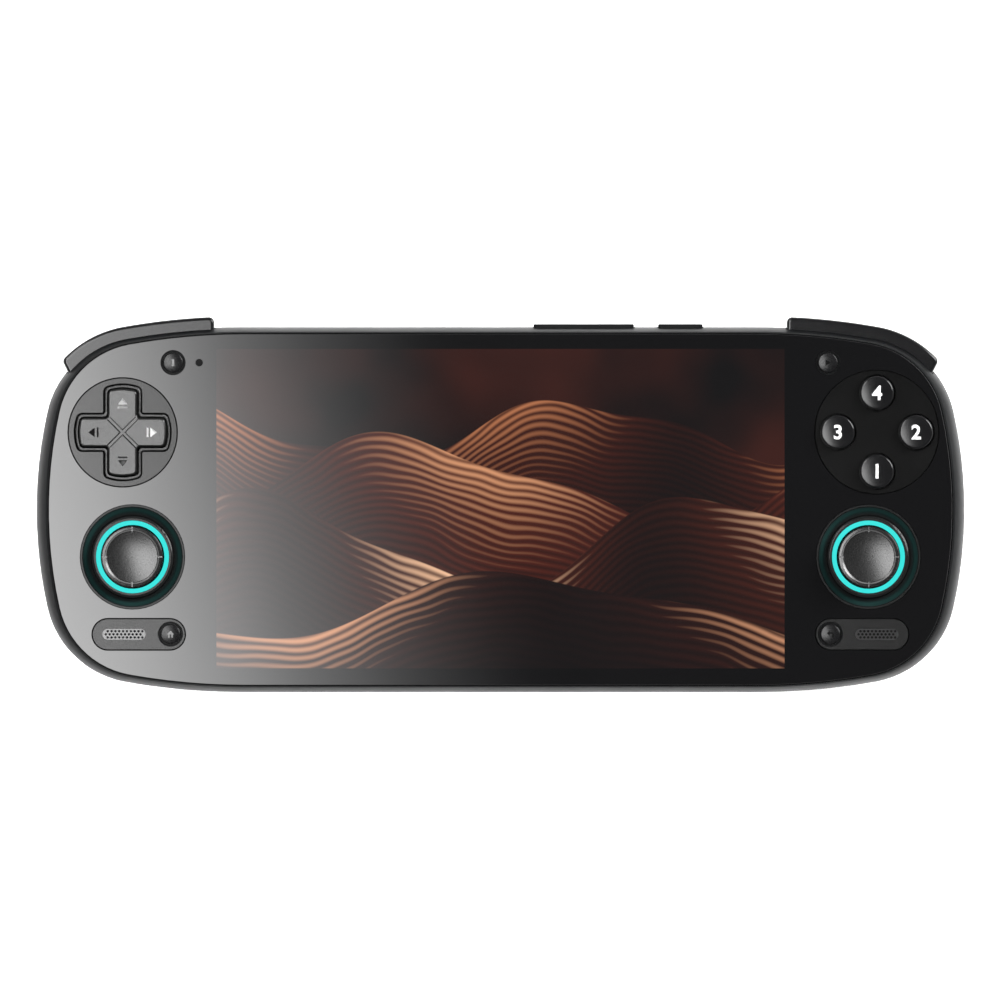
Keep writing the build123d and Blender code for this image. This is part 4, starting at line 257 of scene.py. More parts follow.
# Polycarbonate inserts in the glass, with a fine spark texture under a satin gloss: speckled where lit
PAD_POLYCARBONATE = Finish(
    "satin_textured_polycarbonate_insert",
    "0C0C0C",
    0.12,
    ior=1.36,
    grain_mm=0.3,
    grain_depth_mm=0.007,
    roughness_change=0.03,
)
# ABS keys, moulded and satin polished: nearly black with a tight soft highlight
KEY_ABS = Finish(
    "satin_abs_key", "101011", 0.15, ior=1.4, grain_mm=0.25, grain_depth_mm=0.002, roughness_change=0.03
)
# The same plastic on the small round keys, left as moulded: a softer, dimmer highlight
SMALL_KEY_ABS = Finish("moulded_abs_small_key", "101011", 0.28, ior=1.32, grain_mm=0.25, grain_depth_mm=0.003)
# ABS direction key, moulded with a fine spark texture under a satin gloss
CROSS_ABS = Finish("spark_textured_abs_cross_key", "141414", 0.22, grain_mm=0.3, grain_depth_mm=0.012)
# Rubber feet, moulded
FOOT_RUBBER = Finish("moulded_rubber_foot", "151515", 0.8, grain_mm=0.4, grain_depth_mm=0.03)
# Zinc-plated steel: screws, pins, cans and stick housings
PLATED_STEEL = Finish("zinc_plated_steel", "9A9B9E", 0.3, 1.0, grain_depth_mm=0.002, grain=Grain.ALONG_X)
# Black-oxide steel screws in the back
BLACK_STEEL = Finish("black_oxide_steel", "2A2A2C", 0.38, 1.0, grain_mm=0.2, grain_depth_mm=0.002)
# Stamped aluminium middle frame and fins
STAMPED_ALUMINIUM = Finish(
    "stamped_aluminium", "B4B6B8", 0.36, 1.0, grain_depth_mm=0.002, grain=Grain.ALONG_Y
)
# Flattened copper heat pipe
COPPER_PIPE = Finish("flattened_copper_pipe", "B87350", 0.28, 1.0, grain_depth_mm=0.002, grain=Grain.ALONG_X)
# Glass-fibre board under matt green solder mask
SOLDER_MASK = Finish(
    "green_solder_mask_board", "0E3B26", 0.42, grain_mm=0.4, grain_depth_mm=0.006, tone_change=0.2
)
# Acetal saddles and yokes: milky and slippery
ACETAL = Finish("natural_acetal", "D8D6CE", 0.32, grain_mm=0.8, grain_depth_mm=0.003)
# Silicone key sheets, moulded
SILICONE = Finish("moulded_silicone_sheet", "77787A", 0.6, grain_mm=0.6, grain_depth_mm=0.01)
# Black moulded nylon of fan, jack and speakers
BLACK_NYLON = Finish("black_moulded_nylon", "161616", 0.5, grain_mm=0.4, grain_depth_mm=0.012)
# Closed-cell foam of the gasket
FOAM = Finish("closed_cell_foam", "121212", 0.9, grain_mm=0.5, grain_depth_mm=0.08)
# Polyester film round the battery cells: smooth, with slow creases
BATTERY_FILM = Finish("polyester_battery_film", "1F2023", 0.25, grain_mm=4.0, grain_depth_mm=0.03)
# Polyimide ribbon cable: amber and shiny
POLYIMIDE = Finish(
    "polyimide_ribbon", "A0521C", 0.25, grain_mm=1.5, grain_depth_mm=0.004, grain=Grain.ALONG_Y
)
# Woven polyester dust mesh, its 0.1 mm weave drawn at 0.15 mm so that it shows
DUST_MESH = Finish("woven_polyester_mesh", "030303", 0.85, ior=1.15, grain_mm=0.15, grain_depth_mm=0.05)
# Smoked acrylic light pipe, unlit: a black dot in the glass
SMOKED_ACRYLIC = Finish("smoked_acrylic", "020202", 0.5, ior=1.2, grain_mm=1.0, grain_depth_mm=0.001)
# Liquid crystal panel, switched off behind the glass
PANEL_FACE = Finish("display_panel_face", "050505", 0.12, grain_mm=1.0, grain_depth_mm=0.001)
# Silicone light guide round each stick, lit from below by teal light-emitting diodes
LIGHT_GUIDE = Finish(
    "lit_silicone_light_guide",
    "0A2422",
    0.6,
    ior=1.2,
    grain_mm=2.0,
    grain_depth_mm=0.001,
    glow=1.0,
    glow_colour="38E4DE",
)
# White pad-printed ink of the numerals
WHITE_INK = Finish("white_pad_print_ink", "F4F4F4", 0.5, grain_mm=0.1, grain_depth_mm=0.001, tone_change=0.03)
# Pale grey ink of the marks on the keys
GREY_INK = Finish("grey_pad_print_ink", "6A6A6A", 0.5, grain_mm=0.1, grain_depth_mm=0.001)
# One print in lit and shaded copies: painted light on the upper mark, a painted highlight on the right mark,
# painted shade on the left mark, in the direction key's grooves and on two small keys' marks
PRINT_INK_IN_PAINTED_LIGHT = Finish("pad_print_ink_in_painted_light", "9C9C9C", 0.5, grain_mm=0.1, grain_depth_mm=0.001)
PRINT_INK_WITH_PAINTED_HIGHLIGHT = Finish("pad_print_ink_with_painted_highlight", "C9C9C9", 0.45, grain_mm=0.1, grain_depth_mm=0.001)
PRINT_INK_IN_PAINTED_SHADE = Finish("pad_print_ink_in_painted_shade", "0A0A0A", 0.6, ior=1.15, grain_mm=0.1, grain_depth_mm=0.001)
# The same print with painted shade on the lower mark, a little glossier: it shows only by its own slight
# gloss
PAINTED_SHADE_GLOSSY_PRINT_INK = Finish("painted_shade_glossy_pad_print_ink", "0E0E0E", 0.3, ior=1.36, grain_mm=0.1, grain_depth_mm=0.001)


def dress(nodes: list[str], finish: Finish) -> None:
    """Give CAD nodes a finish.

    Args:
        nodes: Names of the nodes.
        finish: Their finish.
    """
    for name in nodes:
        put_material(name, finish.material())


def put_material(name: str, material: bpy.types.Material) -> None:
    """Give a CAD node one material in place of those it has.

    Args:
        name: The node's name.
        material: Its new material.
    """
    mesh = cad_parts[name].data
    mesh.materials.clear()
    mesh.materials.append(material)
    log.info("%s: %s", name, material.name)


@dataclass
class PrintAndShadeCoat:
    """A thin coat that follows the top of the CAD node that carries it: printed ink, some in copies with
    painted light and shade, and lines of painted shade.
    """

    name: str
    node: str
    body: str
    slot: str
    finish: Finish
    coat: float = 0.02 * MM
    facet: float = 0.4 * MM

    def lay(self, shape: bmesh.types.BMesh) -> bpy.types.Object:
        """Divide flat shapes finely, lower them onto the node and give them the coat's thickness.

        Args:
            shape: The print's faces in plan, freed here.

        Returns:
            The print, riding on its body.
        """
        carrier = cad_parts[self.node]
        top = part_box(self.node)[1].z
        for normal in (Vector((1, 0, 0)), Vector((0, 1, 0))):
            places = [vertex.co.dot(normal) for vertex in shape.verts]
            for step in range(1, math.ceil((max(places) - min(places)) / self.facet)):
                bmesh.ops.bisect_plane(
                    shape,
                    geom=shape.verts[:] + shape.edges[:] + shape.faces[:],
                    plane_co=normal * (min(places) + step * self.facet),
                    plane_no=normal,
                )
        for vertex in shape.verts:
            above = Vector((vertex.co.x, vertex.co.y, top + MM))
            found, place, _, _ = carrier.ray_cast(above, Vector((0, 0, -1)))
            vertex.co.z = (place.z if found else top) + self.coat
        mesh = bpy.data.meshes.new(self.name)
        bmesh.ops.recalc_face_normals(shape, faces=shape.faces)
        shape.to_mesh(mesh)
        shape.free()
        piece = bpy.data.objects.new(self.name, mesh)
        bpy.context.collection.objects.link(piece)
        coat = piece.modifiers.new("coat", "SOLIDIFY")
        coat.thickness = 2 * self.coat
        mesh.materials.append(self.finish.material())
        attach(piece, self.body)
        log.info("printed %s", self.name)
        return piece


def flat_shape(outlines: list[list[tuple[float, float]]]) -> bmesh.types.BMesh:
    """Make flat faces from outlines in plan, each counted anticlockwise.

    Args:
        outlines: Corner points of each face.

    Returns:
        The faces, all at height 0.
    """
    shape = bmesh.new()
    for outline in outlines:
        shape.faces.new([shape.verts.new((x, y, 0)) for x, y in outline])
    return shape


@dataclass
class Dune:
    """One ridge of the generic landscape that the screen shows, all in millimetres on the screen."""

    base: float
    rise: float
    wave: float
    phase: float
    ripple_rise: float
    ripple_wave: float
    depth: float
    line: float
    lit: str
    shade: str


@dataclass(frozen=True)
class CoverGlass:
    """Polished glass, printed black behind, with the generic dune landscape of the lit display."""

    name: str = "polished_cover_glass_over_display"
    ior: float = 1.5
    width_mm: float = 121.8
    height_mm: float = 68.5
    centre_y_mm: float = -0.95
    black: str = "0D0D0E"
    night: str = "050303"
    glare: str = "FFE3CC"
    shade_at: float = 0.22
    lit_at: float = 0.75
    haze_mm: float = 1 / 0.03
    haze_detail: float = 2.0
    haze_tones: tuple[tuple[float, str], ...] = ((0.4, "070505"), (0.75, "3A1710"))
    crest_blur_mm: float = 0.35
    wind_bend_mm: float = 9.0
    stripe_light: tuple[float, float] = (0.28, 0.72)
    sweep_light: tuple[float, float] = (0.42, 0.55)
    sweep_share: float = 0.8
    smudge_mm: float = 25.0
    smudge_detail: float = 5.0
    gloss: tuple[float, float] = (0.03, 0.06)
    dunes: tuple[Dune, ...] = (
        Dune(17.0, 6.0, 88.0, 0.4, 1.6, 37.0, 16.0, 1.5, "C07A52", "3A150D"),
        Dune(6.0, 9.0, 117.0, 2.7, 2.2, 49.0, 18.0, 1.7, "DB9A70", "4A1C12"),
        Dune(-7.0, 10.0, 96.0, 4.9, 2.0, 43.0, 19.0, 1.9, "F0BD97", "3E180F"),
        Dune(-21.0, 7.0, 131.0, 1.3, 1.8, 57.0, 14.0, 2.1, "E3A27A", "2A0F0A"),
    )

    def crest(self, tree: bpy.types.NodeTree, x: bpy.types.NodeSocket, dune: Dune) -> bpy.types.NodeSocket:
        """Height of a dune's crest along the screen.

        Args:
            tree: Node tree of the glass.
            x: Place along the screen, in millimetres.
            dune: The dune.

        Returns:
            Its crest's height, in millimetres.
        """
        total = None
        waves = ((dune.rise, dune.wave, dune.phase), (dune.ripple_rise, dune.ripple_wave, 2 * dune.phase))
        for rise, wave, phase in waves:
            angle = add_node(
                tree, "ShaderNodeMath", {"operation": "MULTIPLY_ADD"}, {0: x, 1: 2 * math.pi / wave, 2: phase}
            )
            sine = add_node(tree, "ShaderNodeMath", {"operation": "SINE"}, {0: angle.outputs[0]})
            part = add_node(
                tree,
                "ShaderNodeMath",
                {"operation": "MULTIPLY_ADD"},
                {0: sine.outputs[0], 1: rise, 2: total if total else dune.base},
            )
            total = part.outputs[0]
        return total

    def layer(
        self,
        tree: bpy.types.NodeTree,
        behind: bpy.types.NodeSocket,
        x: bpy.types.NodeSocket,
        y: bpy.types.NodeSocket,
        wind: bpy.types.NodeSocket,
        dune: Dune,
    ) -> bpy.types.NodeSocket:
        """Lay one dune over what is behind it.

        Args:
            tree: Node tree of the glass.
            behind: Colour of what is behind.
            x: Place along the screen, in millimetres.
            y: Place up the screen, in millimetres.
            wind: Slow noise that bends the wind lines.
            dune: The dune.

        Returns:
            Colour with the dune in front.
        """
        crest = self.crest(tree, x, dune)
        below = add_node(tree, "ShaderNodeMath", {"operation": "SUBTRACT"}, {0: crest, 1: y})
        mask = add_node(
            tree,
            "ShaderNodeMapRange",
            {"interpolation_type": "SMOOTHSTEP"},
            {"Value": below.outputs[0], "From Min": 0.0, "From Max": self.crest_blur_mm},
        )
        bent = add_node(
            tree,
            "ShaderNodeMath",
            {"operation": "MULTIPLY_ADD"},
            {0: wind, 1: self.wind_bend_mm, 2: below.outputs[0]},
        )
        fade = add_node(
            tree, "ShaderNodeMath", {"operation": "MULTIPLY"}, {0: bent.outputs[0], 1: -1 / dune.depth}
        )
        depth = add_node(tree, "ShaderNodeMath", {"operation": "EXPONENT"}, {0: fade.outputs[0]})
        stripe_angle = add_node(
            tree,
            "ShaderNodeMath",
            {"operation": "MULTIPLY"},
            {0: bent.outputs[0], 1: 2 * math.pi / dune.line},
        )
        stripe = add_node(tree, "ShaderNodeMath", {"operation": "SINE"}, {0: stripe_angle.outputs[0]})
        stripe_light = add_node(
            tree,
            "ShaderNodeMath",
            {"operation": "MULTIPLY_ADD"},
            {0: stripe.outputs[0], 1: self.stripe_light[0], 2: self.stripe_light[1]},
        )
        sweep_angle = add_node(
            tree,
            "ShaderNodeMath",
            {"operation": "MULTIPLY_ADD"},
            {0: x, 1: 2 * math.pi / (self.sweep_share * dune.wave), 2: 3 * dune.phase},
        )
        sweep = add_node(tree, "ShaderNodeMath", {"operation": "SINE"}, {0: sweep_angle.outputs[0]})
        sun = add_node(
            tree,
            "ShaderNodeMath",
            {"operation": "MULTIPLY_ADD"},
            {0: sweep.outputs[0], 1: self.sweep_light[0], 2: self.sweep_light[1]},
        )
        lit = add_node(
            tree, "ShaderNodeMath", {"operation": "MULTIPLY"}, {0: depth.outputs[0], 1: sun.outputs[0]}
        )
        light = add_node(
            tree,
            "ShaderNodeMath",
            {"operation": "MULTIPLY", "use_clamp": True},
            {0: lit.outputs[0], 1: stripe_light.outputs[0]},
        )
        ramp = add_node(tree, "ShaderNodeValToRGB", {}, {0: light.outputs[0]})
        tones = ((0.0, self.night), (self.shade_at, dune.shade), (self.lit_at, dune.lit), (1.0, self.glare))
        fill_ramp(ramp, [(at, linear(colour)) for at, colour in tones])
        over = add_node(
            tree,
            "ShaderNodeMix",
            {"data_type": "RGBA"},
            {0: mask.outputs[0], 6: behind, 7: ramp.outputs[0]},
        )
        return over.outputs[2]

    def build(self) -> bpy.types.Material:
        """Build the material: the lit picture within the black print, under a clear, faintly smudged gloss.

        Returns:
            The material.
        """
        material, tree = new_tree(self.name)
        place = add_node(tree, "ShaderNodeTexCoord").outputs["Object"]
        moved = add_node(
            tree,
            "ShaderNodeVectorMath",
            {"operation": "SUBTRACT"},
            {0: place, 1: (0, self.centre_y_mm * MM, 0)},
        )
        scaled = add_node(
            tree, "ShaderNodeVectorMath", {"operation": "SCALE"}, {0: moved.outputs[0], "Scale": 1 / MM}
        )
        axes = add_node(tree, "ShaderNodeSeparateXYZ", {}, {0: scaled.outputs[0]})
        x, y = axes.outputs[0], axes.outputs[1]
        haze = add_node(
            tree,
            "ShaderNodeTexNoise",
            {},
            {"Vector": scaled.outputs[0], "Scale": 1 / self.haze_mm, "Detail": self.haze_detail},
        )
        sky = add_node(tree, "ShaderNodeValToRGB", {}, {0: haze.outputs["Fac"]})
        fill_ramp(sky, [(at, linear(tone)) for at, tone in self.haze_tones])
        colour = sky.outputs[0]
        for dune in self.dunes:
            colour = self.layer(tree, colour, x, y, haze.outputs["Fac"], dune)
        near = []
        for axis, length in ((x, self.width_mm), (y, self.height_mm)):
            away = add_node(tree, "ShaderNodeMath", {"operation": "ABSOLUTE"}, {0: axis})
            within = add_node(
                tree, "ShaderNodeMath", {"operation": "LESS_THAN"}, {0: away.outputs[0], 1: length / 2}
            )
            near.append(within.outputs[0])
        inside = add_node(tree, "ShaderNodeMath", {"operation": "MULTIPLY"}, {0: near[0], 1: near[1]})
        shown = add_node(
            tree,
            "ShaderNodeMix",
            {"data_type": "RGBA"},
            {0: inside.outputs[0], 6: (0.0, 0.0, 0.0, 1.0), 7: colour},
        )
        smudge = add_node(
            tree,
            "ShaderNodeTexNoise",
            {},
            {"Vector": place, "Scale": 1 / (self.smudge_mm * MM), "Detail": self.smudge_detail},
        )
        gloss = add_node(
            tree,
            "ShaderNodeMapRange",
            {},
            {"Value": smudge.outputs["Fac"], "To Min": self.gloss[0], "To Max": self.gloss[1]},
        )
        surface = add_node(
            tree,
            "ShaderNodeBsdfPrincipled",
            {},
            {
                "Base Color": linear(self.black),
                "Roughness": gloss.outputs[0],
                "IOR": self.ior,
                "Emission Color": shown.outputs[2],
                "Emission Strength": 1.0,
            },
        )
        add_node(tree, "ShaderNodeOutputMaterial", {}, {"Surface": surface.outputs[0]})
        return material


# Cover glass, polished and printed black behind: a clear mirror, faintly smudged, over the lit picture
COVER_GLASS = CoverGlass()


@dataclass
class Screen:
    """Front glass with the lit display under it, and what holds the display."""

    def build(self) -> None:
        """Dress the glass, the display and what holds it."""
        put_material("front_glass", COVER_GLASS.build())
        dress(["display_panel"], PANEL_FACE)
        dress(["display_gasket"], FOAM)
        dress(["middle_frame"], STAMPED_ALUMINIUM)
        dress(["display_cable"], POLYIMIDE)


@dataclass
class Shells:
    """Painted front frame, textured back, screws, pins and feet."""

    def build(self) -> None:
        """Dress the shells and what joins them."""
        dress(["front_shell"], FRAME_LACQUER)
        dress(["rear_shell"], BACK_ABS)
        dress(["case_screws"], BLACK_STEEL)
        dress(["inner_screws", "pins"], PLATED_STEEL)
        dress(["feet"], FOOT_RUBBER)


@dataclass
class DirectionPad:
    """Cross-shaped key with its printed marks, its pivot ball, its silicone sheet and the disc round it."""

    band_half: float = 0.5 * MM
    line_width: float = 0.22 * MM
    line_end: float = 4.25 * MM
    mark_base: float = 5.98 * MM
    mark_tip: float = 7.33 * MM
    mark_half: float = 1.02 * MM
    bar_inner: float = 5.155 * MM
    bar_outer: float = 5.545 * MM

    def spot(self, along: float, across: float, turn: int) -> tuple[float, float]:
        """Place on the key in one arm's own axes.

        Args:
            along: Distance from the middle along the arm.
            across: Distance to the arm's left.
            turn: Quarter turns from the right arm.

        Returns:
            The place in plan.
        """
        low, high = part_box("dpad")
        centre = (low + high) / 2
        for _ in range(turn):
            along, across = -across, along
        return (centre.x + along, centre.y + across)

    def painted_groove_shade(self) -> bpy.types.Object:
        """Draw dark lines of painted shade along both sides of the diagonal bands, where the grooves are.

        Returns:
            The lines, riding on the key.
        """
        outlines = []
        tip = self.band_half * math.sqrt(2)
        wide = self.line_width / math.sqrt(2)
        reach = self.line_end / math.sqrt(2)
        shift = self.band_half / math.sqrt(2)
        for turn in range(4):
            for side in (1, -1):
                corners = [
                    (tip, 0.0),
                    (tip - 2 * wide, 0.0),
                    (reach + shift - wide, side * (reach - shift + wide)),
                    (reach + shift, side * (reach - shift)),
                ]
                outlines.append([self.spot(along, across, turn) for along, across in corners][::-side])
        # Painted shade of the grooves, laid on the key like a print
        ink = PrintAndShadeCoat("dpad_painted_groove_shade", "dpad", "dpad", "button_plastic", PRINT_INK_IN_PAINTED_SHADE)
        return ink.lay(flat_shape(outlines))

    def mark(self, name: str, turn: int, finish: Finish) -> bpy.types.Object:
        """Print an arm's triangle and bar.

        Args:
            name: The print's name.
            turn: Quarter turns from the right arm.
            finish: Its ink, in the copy painted with the arm's light and shade.

        Returns:
            The print.
        """
        half = self.mark_half
        triangle = [(self.mark_base, -half), (self.mark_tip, 0.0), (self.mark_base, half)]
        bar = [
            (self.bar_inner, -half), (self.bar_outer, -half), (self.bar_outer, half), (self.bar_inner, half)
        ]
        outlines = [[self.spot(along, across, turn) for along, across in shape] for shape in (triangle, bar)]
        return PrintAndShadeCoat(name, "dpad", "dpad", "button_plastic", finish).lay(flat_shape(outlines))

    def build(self) -> None:
        """Dress the D-pad, lay the painted shade of its grooves and print its marks with painted light and
        shade.
        """
        dress(["dpad"], CROSS_ABS)
        dress(["dpad_pivot"], ACETAL)
        dress(["dpad_membrane"], SILICONE)
        dress(["dpad_surround"], PAD_POLYCARBONATE)
        self.painted_groove_shade()
        # One print on all four arms: painted light above, a painted highlight on the right, painted shade on
        # the left and below
        marks = (("right", 0, PRINT_INK_WITH_PAINTED_HIGHLIGHT), ("up", 1, PRINT_INK_IN_PAINTED_LIGHT), ("left", 2, PRINT_INK_IN_PAINTED_SHADE), ("down", 3, PAINTED_SHADE_GLOSSY_PRINT_INK))
        for name, turn, finish in marks:
            self.mark(f"dpad_mark_{name}", turn, finish)


@dataclass
class FaceButtons:
    """Four domed keys with printed numerals."""

    numeral_height: float = 3.15 * MM
    boldness: float = 0.024
    numerals: tuple[tuple[str, str], ...] = (("bottom", "1"), ("right", "2"), ("left", "3"), ("top", "4"))

    def numeral(self, spot: str, text: str) -> bpy.types.Object:
        """Print one numeral on a button's dome.

        Args:
            spot: Which button.
            text: The numeral.

        Returns:
            The print, riding on its button.
        """
        node = f"face_button_{spot}"
        low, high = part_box(node)
        centre = (low + high) / 2
        curve = bpy.data.curves.new(f"numeral_curve_{spot}", "FONT")
        curve.body = text
        curve.resolution_u = FONT_RESOLUTION
        curve.offset = self.boldness
        source = bpy.data.objects.new(f"numeral_source_{spot}", curve)
        bpy.context.collection.objects.link(source)
        flat = bpy.data.meshes.new_from_object(source.evaluated_get(bpy.context.evaluated_depsgraph_get()))
        bpy.data.objects.remove(source)
        shape = bmesh.new()
        shape.from_mesh(flat)
        bpy.data.meshes.remove(flat)
        across = [vertex.co.x for vertex in shape.verts]
        up = [vertex.co.y for vertex in shape.verts]
        middle = Vector(((max(across) + min(across)) / 2, (max(up) + min(up)) / 2, 0))
        scale = self.numeral_height / (max(up) - min(up))
        for vertex in shape.verts:
            vertex.co = (vertex.co - middle) * scale + Vector((centre.x, centre.y, 0))
        return PrintAndShadeCoat(f"numeral_{spot}", node, node, "button_plastic", WHITE_INK).lay(shape)

    def build(self) -> None:
        """Dress the buttons and print their numerals."""
        dress([f"face_button_{spot}" for spot, _ in self.numerals], KEY_ABS)
        dress(["face_button_surround"], PAD_POLYCARBONATE)
        dress(["face_button_membrane"], SILICONE)
        for spot, text in self.numerals:
            self.numeral(spot, text)


class Mark(Enum):
    """Plain marks printed on the small keys, as filled outlines in shares of the mark's size."""

    BAR = (((-0.18, -0.5), (0.18, -0.5), (0.18, 0.5), (-0.18, 0.5)),)
    TRIANGLE = (((-0.35, -0.45), (0.5, 0.0), (-0.35, 0.45)),)
    HOUSE = (
        ((-0.55, -0.05), (0.55, -0.05), (0.0, 0.5)),
        ((-0.35, -0.5), (-0.12, -0.5), (-0.12, -0.05), (-0.35, -0.05)),
        ((0.12, -0.5), (0.35, -0.5), (0.35, -0.05), (0.12, -0.05)),
    )
    ARROW = (
        ((-0.5, 0.12), (-0.1, -0.25), (-0.1, 0.5)),
        ((-0.1, 0.02), (0.45, 0.02), (0.3, 0.24), (-0.1, 0.24)),
        ((0.25, -0.45), (0.45, -0.45), (0.45, 0.02), (0.25, 0.02)),
    )


@dataclass(frozen=True)
class GrillePill:
    """Textured polycarbonate pill with a gloss-polished stadium where the sound holes are."""

    name: str = "polycarbonate_pill_with_polished_grille"
    grille_x_mm: float = 80.7
    grille_y_mm: float = -27.9
    grille_length_mm: float = 9.27
    grille_width_mm: float = 2.27
    grain_mm: float = 0.3
    grain_depth_mm: float = 0.012
    satin: tuple[float, float] = (0.14, 0.26)
    polish: float = 0.12
    polished_metallic: float = 0.6
    polished_colour: str = "4A4A4A"

    def build(self) -> bpy.types.Material:
        """Build the material: a satin texture, and a tighter, brighter polish within the stadium.

        Returns:
            The material.
        """
        material, tree = new_tree(self.name)
        place = add_node(tree, "ShaderNodeTexCoord").outputs["Object"]
        axes = add_node(tree, "ShaderNodeSeparateXYZ", {}, {0: place})
        across = add_node(tree, "ShaderNodeMath", {"operation": "ABSOLUTE"}, {0: axes.outputs[0]})
        straight = (self.grille_length_mm - self.grille_width_mm) / 2 * MM
        off = add_node(
            tree,
            "ShaderNodeMath",
            {"operation": "SUBTRACT"},
            {0: across.outputs[0], 1: self.grille_x_mm * MM},
        )
        off_side = add_node(tree, "ShaderNodeMath", {"operation": "ABSOLUTE"}, {0: off.outputs[0]})
        past = add_node(
            tree, "ShaderNodeMath", {"operation": "SUBTRACT"}, {0: off_side.outputs[0], 1: straight}
        )
        end = add_node(tree, "ShaderNodeMath", {"operation": "MAXIMUM"}, {0: past.outputs[0], 1: 0.0})
        up = add_node(
            tree, "ShaderNodeMath", {"operation": "SUBTRACT"}, {0: axes.outputs[1], 1: self.grille_y_mm * MM}
        )
        flat = add_node(tree, "ShaderNodeCombineXYZ", {}, {0: end.outputs[0], 1: up.outputs[0]})
        radius = add_node(tree, "ShaderNodeVectorMath", {"operation": "LENGTH"}, {0: flat.outputs[0]})
        polished = add_node(
            tree,
            "ShaderNodeMath",
            {"operation": "LESS_THAN"},
            {0: radius.outputs["Value"], 1: self.grille_width_mm / 2 * MM},
        )
        fine = add_node(
            tree,
            "ShaderNodeTexNoise",
            {},
            {"Vector": place, "Scale": 1 / (self.grain_mm * MM), "Detail": FINE_DETAIL},
        )
        satin = add_node(
            tree,
            "ShaderNodeMapRange",
            {},
            {"Value": fine.outputs["Fac"], "To Min": self.satin[0], "To Max": self.satin[1]},
        )
        gloss = add_node(
            tree, "ShaderNodeMix", {}, {0: polished.outputs[0], 2: satin.outputs[0], 3: self.polish}
        )
        colour = add_node(
            tree,
            "ShaderNodeMix",
            {"data_type": "RGBA"},
            {0: polished.outputs[0], 6: linear(PAD_POLYCARBONATE.colour), 7: linear(self.polished_colour)},
        )
        metal = add_node(
            tree,
            "ShaderNodeMath",
            {"operation": "MULTIPLY"},
            {0: polished.outputs[0], 1: self.polished_metallic},
        )
        bump = add_node(
            tree,
            "ShaderNodeBump",
            {},
            {"Height": fine.outputs["Fac"], "Strength": BUMP_STRENGTH, "Distance": self.grain_depth_mm * MM},
        )
        surface = add_node(
            tree,
            "ShaderNodeBsdfPrincipled",
            {},
            {
                "Base Color": colour.outputs[2],
                "Roughness": gloss.outputs[0],
                "Metallic": metal.outputs[0],
                "IOR": PAD_POLYCARBONATE.ior,
                "Normal": bump.outputs[0],
            },
        )
        add_node(tree, "ShaderNodeOutputMaterial", {}, {"Surface": surface.outputs[0]})
        return material


# Polycarbonate pill, moulded with a fine texture and polished round the sound holes, where it mirrors
GRILLE_PILL = GrillePill()


@dataclass
class SmallKeys:
    """Round keys above and below, their printed marks, the grilles and what is under them."""

    mark_size: float = 1.5 * MM
    marks: tuple[tuple[str, Mark, Finish], ...] = (
        ("select_button", Mark.BAR, GREY_INK),
        # The start and back marks carry painted shade
        ("start_button", Mark.TRIANGLE, PRINT_INK_IN_PAINTED_SHADE),
        ("home_button", Mark.HOUSE, GREY_INK),
        ("back_button", Mark.ARROW, PRINT_INK_IN_PAINTED_SHADE),
    )

    def print_mark(self, node: str, mark: Mark, finish: Finish) -> bpy.types.Object:
        """Print a mark on a key's top.

        Args:
            node: The key's CAD node, which is also its body's name.
            mark: Which mark.
            finish: Its ink, a copy with painted shade on the start and back keys.

        Returns:
            The print, riding on its key.
        """
        low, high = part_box(node)
        centre = (low + high) / 2
        outlines = [
            [(centre.x + x * self.mark_size, centre.y + y * self.mark_size) for x, y in outline]
            for outline in mark.value
        ]
        return PrintAndShadeCoat(f"mark_{node}", node, node, "button_plastic", finish).lay(flat_shape(outlines))

    def build(self) -> None:
        """Dress the keys, grilles and what is under them."""
        dress([node for node, _, _ in self.marks], SMALL_KEY_ABS)
        put_material("grille_plates", GRILLE_PILL.build())
        dress(["speaker_meshes"], DUST_MESH)
        dress(["speakers"], BLACK_NYLON)
        dress(["switches"], PLATED_STEEL)
        dress(["status_light_pipe"], SMOKED_ACRYLIC)
        for node, mark, finish in self.marks:
            self.print_mark(node, mark, finish)


